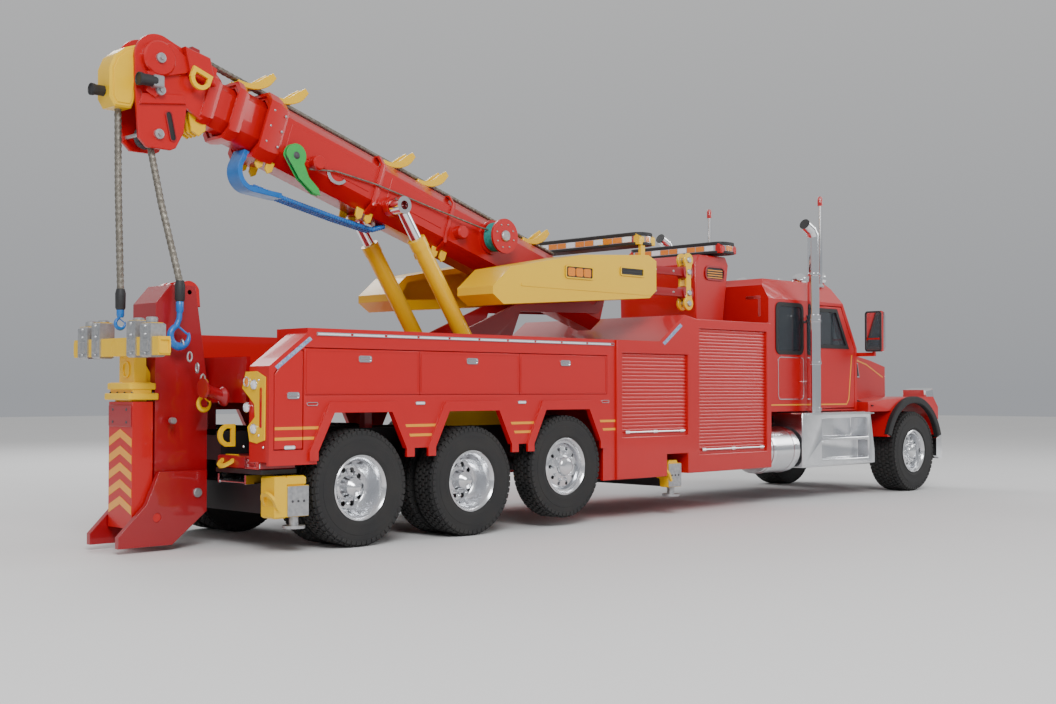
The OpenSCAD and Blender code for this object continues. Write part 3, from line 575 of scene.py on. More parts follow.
# ---------- wheels ----------
def tyre_shape(r, w, rim, blocks):
    """The carcass is a turned profile with round shoulders and three grooves, and the tread
    is rows of slanted blocks ringed round it."""
    base = r - 0.016
    half = w / 2
    side = [(rim - 0.004, -half * 0.80), (rim + 0.030, -half * 0.90),
            (rim + 0.060, -half * 0.985), (rim + 0.075, -half * 0.965),
            (r * 0.74, -half), (r * 0.80, -half * 0.995), (r * 0.805, -half * 0.975),
            (r - 0.060, -half * 0.975), (r - 0.030, -half * 0.93), (base, -half * 0.84)]
    profile = side + [(p[0], -p[1]) for p in side[::-1]]
    shapes = [lathe(profile, 96)]
    rows = 5 if w < 0.35 else 6
    pitch = 2 * half * 0.86 / rows
    width, length = pitch * 0.80, 2 * np.pi * r / blocks * 0.74
    for k in range(rows):
        z = (k - (rows - 1) / 2) * pitch
        lug = block((base - 0.01, -length / 2, z - width / 2),
                    (r, length / 2, z + width / 2), 0.003)
        points = lug[0].copy()
        points[:, 1] += (points[:, 2] - z) * (0.28 if k % 2 else -0.28)
        shapes.append(ring((points, lug[1]), blocks, start=(k % 2) * np.pi / blocks))
    shoulder = block((r - 0.055, -length / 2, half * 0.88), (r - 0.018, length / 2, half * 0.995),
                     0.003)
    shapes.append(ring(shoulder, blocks))
    shapes.append(ring((shoulder[0] * np.array([1, 1, -1]), shoulder[1]), blocks))
    return joined(*shapes)


def holed_disc(r_in, r_out, hole, count, height, depth=0.014, steps=40):
    """A ring plate cut into equal sectors: round each hand hole, points run from the hole's
    rim out to the sector's border. height gives Z at a radius."""
    turn = np.linspace(0, 2 * np.pi, steps, endpoint=False) + np.pi / 4
    hr, ha = (r_out - r_in) / 2, np.pi / count
    mid = (r_in + r_out) / 2
    border = 1 / np.maximum(np.abs(np.cos(turn)), np.abs(np.sin(turn)))
    reach = np.array([0.0, 0.12, 0.5, 1.0])[:, None]
    dr = (1 - reach) * hole * np.cos(turn) + reach * hr * border * np.cos(turn)
    da = (1 - reach) * hole / mid * np.sin(turn) + reach * ha * border * np.sin(turn)
    radius = mid + dr
    top = np.stack([radius * np.cos(da), radius * np.sin(da), height(radius)], -1)
    under = top[:1] - np.array([0, 0, depth])
    sector = grid(np.vstack([under, top]), wrap_v=True)
    return ring(sector, count)


def nut(size=0.020, tall=0.035):
    """A nut and its washer: a turned profile whose radius falls as it rises."""
    return lathe([(0, tall), (size * 0.5, tall), (size * 0.85, tall * 0.75),
                  (size, tall * 0.3), (size * 1.25, 0.0), (0, 0)], 12, closed=False)


def deep_rim(w, rim):
    """A dual's outer rim: a deep bowl with hand holes, nuts and a pointed hub cover."""
    out = w / 2 - 0.012
    floor_z = -0.075
    bowl = lathe([(rim + 0.022, out - 0.012), (rim + 0.024, out), (rim + 0.012, out + 0.008),
                  (rim - 0.002, out - 0.006), (rim - 0.018, out - 0.030),
                  (rim - 0.026, out - 0.10), (rim - 0.048, floor_z + 0.05),
                  (rim - 0.066, floor_z + 0.012), (rim - 0.080, floor_z),
                  (rim - 0.080, floor_z - 0.014), (rim - 0.030, floor_z - 0.014),
                  (rim - 0.012, -w / 2 + 0.02), (rim, -w / 2 + 0.02),
                  (rim + 0.004, out - 0.03)], 72)
    disc = holed_disc(0.125, rim - 0.079, 0.026, 10, lambda r: floor_z + 0 * r)
    hub = lathe([(0.126, floor_z - 0.01), (0.126, floor_z + 0.006), (0.105, floor_z + 0.016),
                 (0.092, floor_z + 0.05), (0.088, floor_z + 0.105), (0.070, floor_z + 0.125),
                 (0.050, floor_z + 0.135), (0.030, floor_z + 0.165), (0, floor_z + 0.172)],
                40, closed=False)
    nuts = moved(ring(moved(nut(), (0.148, 0, 0)), 10, np.pi / 10), (0, 0, floor_z - 0.002))
    return joined(bowl, disc, hub, nuts)


def outset_rim(w, rim, out_shift=0.0):
    """A single wheel's rim: its disc stands near the outer face, with nuts and a hub cap."""
    out = w / 2 - 0.012
    face = out - 0.050 + out_shift
    bowl = lathe([(rim + 0.022, out - 0.012), (rim + 0.024, out), (rim + 0.012, out + 0.008),
                  (rim - 0.002, out - 0.006), (rim - 0.014, out - 0.035),
                  (rim - 0.030, face - 0.035), (rim - 0.050, face - 0.012),
                  (rim - 0.070, face - 0.002), (rim - 0.070, face - 0.016),
                  (rim - 0.022, face - 0.06), (rim - 0.012, -w / 2 + 0.02),
                  (rim, -w / 2 + 0.02), (rim + 0.004, out - 0.03)], 72)
    disc = holed_disc(0.165, rim - 0.069, 0.020, 10,
                      lambda r: face - 0.002 + 0.010 * np.clip((0.22 - r) / 0.055, 0, 1))
    hub = lathe([(0.166, face), (0.166, face + 0.008), (0.120, face + 0.010),
                 (0.104, face + 0.016), (0.098, face + 0.055), (0.085, face + 0.072),
                 (0.060, face + 0.080), (0.030, face + 0.083), (0, face + 0.083)],
                40, closed=False)
    nuts = moved(ring(moved(nut(0.017, 0.030), (0.143, 0, 0)), 10), (0, 0, face + 0.008))
    return joined(bowl, disc, hub, nuts)


def inner_rim(w, rim, shift):
    """The hidden wheel and drum behind a rim: two turned profiles."""
    wall = lathe([(rim + 0.020, -w / 2 + 0.012), (rim - 0.006, -w / 2 + 0.02),
                  (rim - 0.030, -0.02), (rim - 0.030, w / 2), (rim - 0.012, w / 2),
                  (rim - 0.012, 0), (rim + 0.004, -w / 2 + 0.04)], 48)
    drum = lathe([(0.0, -0.10), (0.205, -0.10), (0.215, -0.08), (0.215, 0.10), (0, 0.10)], 40,
                 closed=False)
    return moved(joined(wall, drum), (0, 0, shift))


def make_wheels():
    """Tyres with block tread and polished rims, in place of the plain wheels."""
    rim = 0.275
    pitch = 0.33
    for side, label in SIDES:
        for kind in ("front_duals", "rear_duals", "pusher_wheel", "steer_wheel"):
            name = f"{kind}_{label}"
            low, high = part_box(name)
            r = (high[2] - low[2]) / 2
            w = high[1] - low[1] if kind == "steer_wheel" else 0.28
            face = high[1] if side > 0 else -low[1]
            face = face - (0.010 if kind == "pusher_wheel" else 0)
            center = ((low[0] + high[0]) / 2, face - w / 2, (low[2] + high[2]) / 2)
            tyre = tyre_shape(r - 0.001, w - 0.004, rim, 54)
            if "duals" in kind:
                tyre = joined(tyre, moved(tyre, (0, 0, -pitch)))
                metal = joined(deep_rim(w, rim), inner_rim(w, rim, -pitch))
            else:
                metal = joined(outset_rim(w, rim, -0.03 if w > 0.35 else 0.0),
                               inner_rim(w, rim, -0.05))
            piece(name + "_tyre", toward_y(tyre, *center, side), name, tyre_rubber(),
                  replaces=(name,))
            piece(name + "_rim", toward_y(metal, *center, side), name,
                  polished_aluminium())


# ---------- trims: truck X runs from the rearmost drive axle ----------
def put(name, body, slot, *shapes, own=None, bevel=0.0, shift=True, replaces=()):
    """Joins shapes into one piece; shift carries truck X into the frame."""
    shape = joined(*shapes)
    if shift:
        shape = moved(shape, (AXLE_X, 0, 0))
    return piece(name, shape, body, own or SLOT_FINISH[slot](), bevel, replaces=replaces)


def band(outline, width, low, high):
    """A frame: the outline and its drawn-in copy joined at both heights."""
    outer, inner = drawn_in(outline, width)
    levels = [(outer, low), (outer, high), (inner, high), (inner, low)]
    rings = [np.column_stack([f, np.full(len(f), h)]) for f, h in levels]
    return grid(np.array(rings), wrap_u=True, wrap_v=True)


def rounded(x0, y0, x1, y1, r, steps=5):
    """A rectangle with quarter circles for corners."""
    quarter = np.radians(np.linspace(0, 90, steps))
    corners = ((x1 - r, y1 - r, 0), (x0 + r, y1 - r, 90), (x0 + r, y0 + r, 180),
               (x1 - r, y0 + r, 270))
    return np.vstack([np.column_stack([cx + r * np.cos(quarter + math.radians(a)),
                                       cy + r * np.sin(quarter + math.radians(a))])
                      for cx, cy, a in corners])


def on_side(shape, y):
    """Stands a shape drawn in XY, rising in Z, on the left side at a Y station."""
    return moved(shape, (0, y, 0), y=(0, 0, 1), z=(0, 1, 0))


def on_rear(shape, x):
    """Stands a shape drawn as (Y, Z), rising in its own Z, on a face that looks back."""
    return moved(shape, (x, 0, 0), x=(0, 1, 0), y=(0, 0, 1), z=(-1, 0, 0))


def paddle(x, z, w=0.15, h=0.060):
    """A latch: a rounded rim with a leaning paddle inside it."""
    rim = band(rounded(x - w / 2, z - h / 2, x + w / 2, z + h / 2, h / 3), 0.009, -0.002, 0.010)
    pan = prism(rounded(x - w / 2 + 0.004, z - h / 2 + 0.004, x + w / 2 - 0.004,
                        z + h / 2 - 0.004, h / 4), -0.002, 0.003)
    flap = block((x - w * 0.34, z - h * 0.12, 0.002), (x + w * 0.34, z + h * 0.26, 0.012), 0.003)
    return joined(rim, pan, flap)


def lamp_rim(r):
    """A lamp's bright ring: a turned profile with a rounded lip."""
    return lathe([(r, -0.002), (r, 0.012), (r * 0.9, 0.018), (r * 0.78, 0.012),
                  (r * 0.78, -0.002)], 32)


def lamp_lens(r):
    """A lamp's glass: a turned profile whose height falls off towards its edge."""
    return lathe([(0, 0.015), (r * 0.45, 0.0135), (r * 0.79, 0.008), (r * 0.79, -0.002),
                  (0, -0.002)], 32, closed=False)


def d_ring(thick=0.024):
    """A lifting eye drawn in XY: a flat foot with a rounded loop, and a D hole."""
    outer = np.vstack([[(-0.07, -0.10)], [(0.03, -0.10)],
                       bow((0.0, 0.0), 0.10, -70, 70, 15),
                       [(0.03, 0.10)], [(-0.07, 0.10)]])
    return band(outer, 0.038, -thick / 2, thick / 2)


def make_body_sides():
    """Pinstripes, latches, lamps, light strips and reflectors along both sides."""
    for side, label in SIDES:
        turn = side_turn(side)
        y = SKIN_Y
        stripes, corner, half_z = [], [], sized("stripe") / 2
        for z, half in ((1.09, 0.492), (1.00, 0.538)):
            for x0, x1 in ((-0.655, -half), (half, 1.37 - half), (1.37 + half, 2.70 - half),
                           (2.70 + half, 3.465)):
                stripes.append(block((x0, y - 0.001, z - half_z), (x1, y + 0.002, z + half_z),
                                     0.0008))
            corner.append(block((-0.952, y - 0.001, z - half_z),
                                (-0.663, y + 0.002, z + half_z), 0.0008))
        put(f"pinstripes_{label}", "root", "paint_yellow", turn(joined(*stripes)),
            own=stripe_orange())
        put(f"corner_stripes_{label}", f"corner_door_{label}", "paint_yellow",
            turn(joined(*corner)), own=stripe_orange())
        put(f"corner_latch_{label}", f"corner_door_{label}", "chrome",
            turn(on_side(paddle(-0.765, 1.375, 0.13), y)))
        for k, spot in enumerate(("rear", "mid", "front")):
            x = -0.636 + 1.325 * k + 0.66
            put(f"latch_{spot}_{label}", f"bin_door_{spot}_{label}", "chrome",
                turn(on_side(paddle(x, 1.705), y)))
            low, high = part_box(f"bin_door_{spot}_{label}")
            edge = rounded(low[0] + 0.012 - AXLE_X, low[2] + 0.012, high[0] - 0.012 - AXLE_X,
                           high[2] - 0.012, 0.02)
            put(f"door_crease_{spot}_{label}", f"bin_door_{spot}_{label}", "paint_red",
                turn(on_side(band(edge, 0.010, -0.001, 0.003), y)))
        lamps = [on_side(band(rounded(x - 0.06, z - 0.016, x + 0.06, z + 0.016, 0.015), 0.006,
                              -0.002, 0.008), y)
                 for x, z in ((-0.56, 1.30), (0.685, 1.30), (2.035, 1.30), (3.30, 1.30),
                              (-0.80, 0.925))]
        channel = on_side(band([(-0.52, 1.905), (3.44, 1.905), (3.44, 1.935), (-0.52, 1.935)],
                               0.006, -0.001, 0.010), y)
        put(f"side_brightwork_{label}", "root", "chrome", turn(joined(*lamps, channel)))
        lens = [on_side(prism(rounded(x - 0.055, z - 0.011, x + 0.055, z + 0.011, 0.010), -0.001,
                              0.006, 0.002), y)
                for x, z in ((0.685, 1.30), (2.035, 1.30), (-0.80, 0.925))]
        strip = [block((x, y, 1.911), (x + 0.36, y + 0.007, 1.929), 0.002)
                 for x in np.arange(-0.50, 3.3, 0.392)]
        put(f"side_lenses_{label}", "root", "chrome", turn(joined(*lens, *strip)),
            own=white_lens())
        rear = [(-0.955, 1.625), (-0.925, 1.600), (-0.560, 1.868), (-0.590, 1.893)]
        slope = [(4.245, 1.955), (4.285, 1.930), (4.60, 2.155), (4.56, 2.185)]
        put(f"reflectors_{label}", "root", "window_glass",
            turn(on_side(prism(rear, -0.001, 0.003, 0.001), y)),
            turn(on_side(prism(slope, -0.001, 0.003, 0.001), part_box("tunnel_boxes")[1][1])),
            own=strip_blue())


def make_shutters():
    """Slatted roll-up doors: each slat is a shallow swept arch, with a pull bar below and a
    lamp rail above."""
    y0, y1 = SKIN_Y - 0.030, SKIN_Y - 0.003
    slats, bars, lights = [], [], []
    for x0, x1, z0, z1 in ((3.560, 4.710, 0.910, 1.830), (4.920, 6.260, 0.680, 2.140)):
        count = int((z1 - z0 - 0.05) / sized("slat"))
        rise = (z1 - z0 - 0.05) / count
        lap = np.linspace(0, 1, 7)
        bulge = y1 - 0.010 + 0.009 * np.sin(np.pi * lap) ** 0.5
        edge = np.column_stack([bulge, z0 + 0.05 + lap * rise])
        profile = np.vstack([edge + np.array([0, rise * k]) for k in range(count)])
        profile = np.vstack([[(y0, z0)], [(y1, z0)], [(y1, z0 + 0.046)], profile,
                             [(y0, z1)]])
        slats.append(moved(prism(profile, x0, x1), x=(0, 1, 0), y=(0, 0, 1), z=(1, 0, 0)))
        bars.append(tube([(x0 + 0.06, y1 + 0.014, z0 + 0.05), (x1 - 0.06, y1 + 0.014,
                                                             z0 + 0.05)], 0.011))
        for x in (x0 + 0.10, (x0 + x1) / 2, x1 - 0.10):
            bars.append(block((x - 0.035, y1 - 0.002, z0 + 0.030), (x + 0.035, y1 + 0.016,
                                                                z0 + 0.070), 0.004))
        bars.append(block((x0 + 0.01, y1 - 0.004, z1 + 0.012), (x1 - 0.01, y1 + 0.012,
                                                            z1 + 0.034), 0.003))
        lights.append(block((x0 + 0.03, y1 + 0.010, z1 + 0.018), (x1 - 0.03, y1 + 0.015,
                                                              z1 + 0.028), 0.001))
    put("shutter_slats", "root", "paint_red", both_sides(joined(*slats)), replaces=("shutters",))
    put("shutter_bars", "root", "chrome", both_sides(joined(*bars)))
    put("shutter_lamps", "root", "chrome", both_sides(joined(*lights)), own=white_lens())
    stripes = [block((x0, SKIN_Y - 0.001, z - 0.013), (x1, SKIN_Y + 0.002, z + 0.013), 0.0008)
               for z in (1.09, 1.00) for x0, x1 in ((3.475, 3.553), (4.717, 4.913), (6.267, 6.345))]
    put("tunnel_stripes", "root", "paint_yellow", both_sides(joined(*stripes)),
        own=stripe_orange())


def make_rear_panels():
    """Yellow lamp plates on the rear corners, with the step, tray and eyes below."""
    face = -1.010
    plate = [(0.926, 1.582), (1.100, 1.585), (1.228, 1.534), (1.222, 0.992), (1.100, 0.960),
             (0.990, 0.975), (0.957, 1.103), (1.070, 1.190), (1.060, 1.300), (0.873, 1.438)]
    put("lamp_plates", "root", "paint_yellow",
        both_sides(on_rear(prism(plate, -0.002, 0.010, 0.003), face)))
    lamps = ((0.957, 1.494), (1.070, 1.470), (0.957, 1.271), (1.066, 1.087))
    rims = [on_rear(moved(lamp_rim(0.046), (y, z, 0.008)), face) for y, z in lamps]
    studs = [on_rear(moved(nut(0.010, 0.010), (y, z, 0.008)), face)
             for y, z in ((1.130, 1.510), (1.130, 1.030), (0.90, 0.93), (1.20, 0.93))]
    put("rear_lamp_rims", "root", "chrome", both_sides(joined(*rims, *studs)))
    lens = [on_rear(moved(lamp_lens(0.046), (y, z, 0.010)), face) for y, z in lamps]
    put("rear_amber_lamps", "root", "chrome", both_sides(lens[0]), own=amber_lens())
    put("rear_clear_lamps", "root", "chrome", both_sides(joined(*lens[1:])), own=white_lens())
    tail = on_rear(prism(rounded(1.150, 1.095, 1.182, 1.446, 0.015), 0.0, 0.016, 0.003), face)
    put("rear_tail_lamps", "root", "paint_dark_red", both_sides(tail), own=red_lens())
    box = block((-0.998, 0.46, 0.728), (-0.640, 1.135, 0.845), 0.012)
    put("rear_step_boxes", "root", "paint_dark_red", both_sides(box))
    plates, trays = [], []
    outline = rounded(0.905, 0.735, 1.130, 0.840, 0.012)
    plates.append(on_rear(band(outline, 0.016, 0.010, 0.020), -1.000 + 0.012))
    for z in (0.765, 0.811):
        plates.append(on_rear(band(rounded(0.935, z - 0.020, 1.060, z + 0.020, 0.019), 0.008,
                                   0.008, 0.021), -1.000 + 0.012))
    plates.append(on_rear(prism(rounded(1.070, 0.745, 1.120, 0.830, 0.010), 0.008, 0.020, 0.002),
                          -1.000 + 0.012))
    for x in np.arange(-0.985, -0.70, 0.046):
        trays.append(block((x, 0.47, 0.602), (x + 0.022, 0.88, 0.616), 0.003))
    trays.append(block((-0.990, 0.45, 0.592), (-0.700, 0.475, 0.680), 0.005))
    trays.append(block((-0.990, 0.875, 0.592), (-0.700, 0.90, 0.680), 0.005))
    put("step_plates", "root", "chrome", both_sides(joined(*plates, *trays)))
    eyes = [moved(d_ring(0.028), (-0.998, 0.62, 1.02), x=(-1, 0, 0), y=(0, 0, 1), z=(0, 1, 0)),
            moved(d_ring(0.024), (-1.000, 0.62, 0.80), x=(-0.8, 0, -0.6), y=(0, 1, 0),
                  z=(-0.6, 0, 0.8))]
    put("rear_eyes", "root", "paint_yellow", both_sides(joined(*eyes)))


def make_outriggers():
    """Galvanised end plates, cast hooks and lugs on the four outrigger arms."""
    for side, label in SIDES:
        turn = side_turn(side)
        for end in ("front", "rear"):
            body = f"outrigger_{end}_{label}"
            low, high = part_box(body)
            x0, x1, z0, z1 = low[0], high[0], low[2], high[2]
            y = high[1] if side > 0 else -low[1]
            plate = on_side(prism(rounded(x0 + 0.004, z0 + 0.004, x1 - 0.004, z1 - 0.004, 0.01),
                                  -0.002, 0.010, 0.002), y)
            dots = [on_side(moved(nut(0.011, 0.010), ((x0 + x1) / 2 + d, (z0 + z1) / 2, 0.008)),
                            y) for d in (-0.06, 0, 0.06)]
            put(f"end_plate_{end}_{label}", body, "zinc_steel", turn(plate), shift=False)
            put(f"end_dots_{end}_{label}", body, "cast_grey", turn(joined(*dots)), shift=False)
            hook = moved(d_ring(0.026), (x0 - 0.005, y - 0.065, (z0 + z1) / 2), x=(-0.45, 0, 0.893),
                         y=(0, 1, 0), z=(-0.893, 0, -0.45))
            lug = slab([(x0 + 0.02, z1 - 0.01), (x1 - 0.02, z1 - 0.01), (x1 - 0.05, z1 + 0.035),
                        (x0 + 0.05, z1 + 0.035)], y - 0.10, y - 0.02, 0.006)
            cast = [hook, lug]
            if end == "rear":
                cast.append(block((x0 - 0.13, y - 0.20, z0 - 0.01), (x0, y, z1 + 0.085), 0.015))
                cast.append(block((x0, y - 0.20, z1), (x1 - 0.03, y, z1 + 0.085), 0.015))
                cast[0] = (hook[0] - np.array([0.13, 0, 0]), hook[1])
            put(f"arm_fittings_{end}_{label}", body, "paint_yellow", turn(joined(*cast)),
                shift=False)


def make_underlift():
    """Chevrons, flanges, clamp blocks, lugs and pins of the folded towing arm."""
    face = -1.705
    stripes = []
    for k in range(5):
        z = 0.36 + 0.148 * k
        stripes.append([(-0.20, z - 0.03), (0.0, z + 0.055), (0.20, z - 0.03),
                        (0.20, z + 0.042), (0.0, z + 0.127), (-0.20, z + 0.042)])
    put("chevrons", "underlift_boom", "paint_yellow",
        joined(*[on_rear(prism(s, -0.001, 0.003), face) for s in stripes]), own=stripe_orange())
    pad = on_rear(prism(rounded(-0.20, 1.10, 0.20, 1.29, 0.012), -0.002, 0.010, 0.003), face)
    holes = [on_rear(moved(nut(0.013, 0.008), (y, z, 0.008)), face)
             for y in (-0.12, 0.12) for z in (1.14, 1.25)]
    put("boom_end_plate", "underlift_boom", "paint_dark_red", pad)
    put("boom_end_bolts", "underlift_boom", "cast_grey", *holes)
    flanges = []
    for z, grow in ((1.335, 0.030), (1.425, 0.012)):
        flanges.append(prism(rounded(-1.72 - grow, -0.20 - grow, -1.48 + grow, 0.20 + grow,
                                     0.03), z, z + 0.06, 0.008))
    bolts = [moved(nut(0.012, 0.012), (x, y, 1.395)) for x in (-1.70, -1.50)
             for y in (-0.19, -0.065, 0.065, 0.19)]
    oval = on_rear(band(rounded(-0.062, 1.53, 0.062, 1.68, 0.055), 0.016, -0.002, 0.012), -1.65)
    webs = [slab([(-1.53, 1.485), (-1.42, 1.485), (-1.53, 1.66)], y - 0.012, y + 0.012)
            for y in (-0.10, 0.10)]
    put("receiver_flanges", "underlift_stinger", "paint_yellow", *flanges, oval, *webs)
    put("receiver_bolts", "underlift_stinger", "cast_grey", *bolts)
    clamps, ends = [], []
    for y0, y1, top in ((0.240, 0.392, 2.03), (0.470, 0.652, 2.00)):
        clamps.append(block((-1.785, y0, 1.705), (-1.640, y1, top), 0.016))
        clamps.append(block((-1.800, y0 + 0.03, 1.75), (-1.775, y1 - 0.03, 1.86), 0.008))
        for z in (1.74, 1.90, top - 0.03):
            clamps.append(toward_rear(nut(0.014, 0.018), -1.783, (y0 + y1) / 2, z))
    for y in (0.335, 0.56):
        clamps.append(moved(lathe([(0.048, -0.02), (0.052, 0.0), (0.052, 0.05), (0.042, 0.062),
                                   (0, 0.062)], 24, closed=False), (-1.71, y - 0.02, 1.99)))
    ends.append(moved(band(rounded(-0.055, -0.065, 0.055, 0.065, 0.014), 0.014, 0, 0.016),
                      (-1.7125, 0.748, 1.80), y=(0, 0, 1), z=(0, 1, 0)))
    put("crossbar_clamps", "crossbar", "zinc_steel", both_sides(joined(*clamps)))
    put("crossbar_ends", "crossbar", "paint_yellow", both_sides(joined(*ends)))
    pins, lugs = [], []
    for y, r, x, z in ((0.287, 0.042, -1.10, 0.50), (0.287, 0.030, -1.35, 1.15)):
        pins.append(toward_y(lathe([(r, -0.03), (r, 0.012), (r * 0.85, 0.02), (0, 0.02)], 28,
                                   closed=False), x, y, z))
    put("mast_pins", "root", "zinc_steel", both_sides(joined(*pins)))
    for y in (0.075, 0.165):
        outline = [(-1.30, 2.18), (-1.02, 2.18), *bow((-1.14, 2.30), 0.115, 20, 160, 9).tolist()]
        lugs.append(slab(outline, y - 0.028, y + 0.028, 0.008))
    put("mast_lugs", "root", "paint_red", both_sides(joined(*lugs)))
    pin = tube([(-1.14, -0.20, 2.31), (-1.14, 0.20, 2.31)], 0.022, 16)
    put("mast_lug_pin", "root", "zinc_steel", pin)
    bollard = [moved(lathe([(0, 0), (0.085, 0), (0.085, 0.02), (0.058, 0.05), (0.052, 0.12),
                            (0.058, 0.19), (0.088, 0.22), (0.088, 0.24), (0, 0.24)], 32,
                           closed=False), (-1.00, 0.56, 1.36), x=(0, 1, 0), y=(0, 0, 1),
                     z=(-0.94, 0, 0.34))]
    put("rear_bollards", "root", "paint_dark_red", both_sides(joined(*bollard)))


# ---------- boom ----------
def rope(path, radius, pitch=0.11, strands=4, sides=14):
    """A tube whose radius swells with the cosine of strands times the angle less the turn
    that the lay has made, which gives twisted strands. The path is resampled evenly."""
    p = np.array(path, float)
    run = np.concatenate([[0], np.cumsum(np.linalg.norm(np.diff(p, axis=0), axis=1))])
    even = np.linspace(0, run[-1], max(int(run[-1] / pitch * 9), 12))
    p = np.column_stack([np.interp(even, run, p[:, k]) for k in range(3)])
    turn = np.linspace(0, 2 * np.pi, sides, endpoint=False)
    swell = 1 + 0.10 * np.cos(strands * turn[None, :] - 2 * np.pi * even[:, None] / pitch * 2)
    return tube(p, radius * swell, sides)


def ribbed(path, radius, pitch=0.03, sides=12):
    """A tube whose radius follows a sine of the distance along it, as on a ribbed hose."""
    p = np.array(path, float)
    run = np.concatenate([[0], np.cumsum(np.linalg.norm(np.diff(p, axis=0), axis=1))])
    even = np.linspace(0, run[-1], max(int(run[-1] / pitch * 4), 12))
    p = np.column_stack([np.interp(even, run, p[:, k]) for k in range(3)])
    swell = 1 + 0.12 * np.sin(2 * np.pi * even / pitch)
    return tube(p, (radius * swell)[:, None] * np.ones((1, sides)), sides)


def fit(name, body, slot, *shapes, own=None, bevel=0.0):
    """A piece drawn in the boom's own axes: distance from its pivot, side and height."""
    return put(name, body, slot, boom_place(joined(*shapes)), own=own, bevel=bevel, shift=False)


def hoist_hook(x, y, z, size=1.0):
    """A hook hanging below a point: a block, then a tapering swept C."""
    bend = arc((x, y, z - 0.245 * size), 0.075 * size, 110, 380, 22)
    path = np.vstack([[(x, y, z - 0.05 * size)], [(x - 0.005, y, z - 0.12 * size)], bend])
    thick = np.interp(np.linspace(0, 1, len(path)), [0, 0.15, 0.6, 1],
                      [0.020, 0.022, 0.030, 0.010]) * size
    neck = lathe([(0, -0.10), (0.026, -0.10), (0.034, -0.08), (0.034, 0.0), (0.02, 0.02),
                  (0, 0.02)], 20, closed=False)
    latch = tube([(x - 0.02 * size, y, z - 0.17 * size), (x + 0.07 * size, y,
                                                         z - 0.235 * size)], 0.008 * size, 8)
    return joined(tube(path, thick, 12), moved(neck, (x, y, z)), latch)


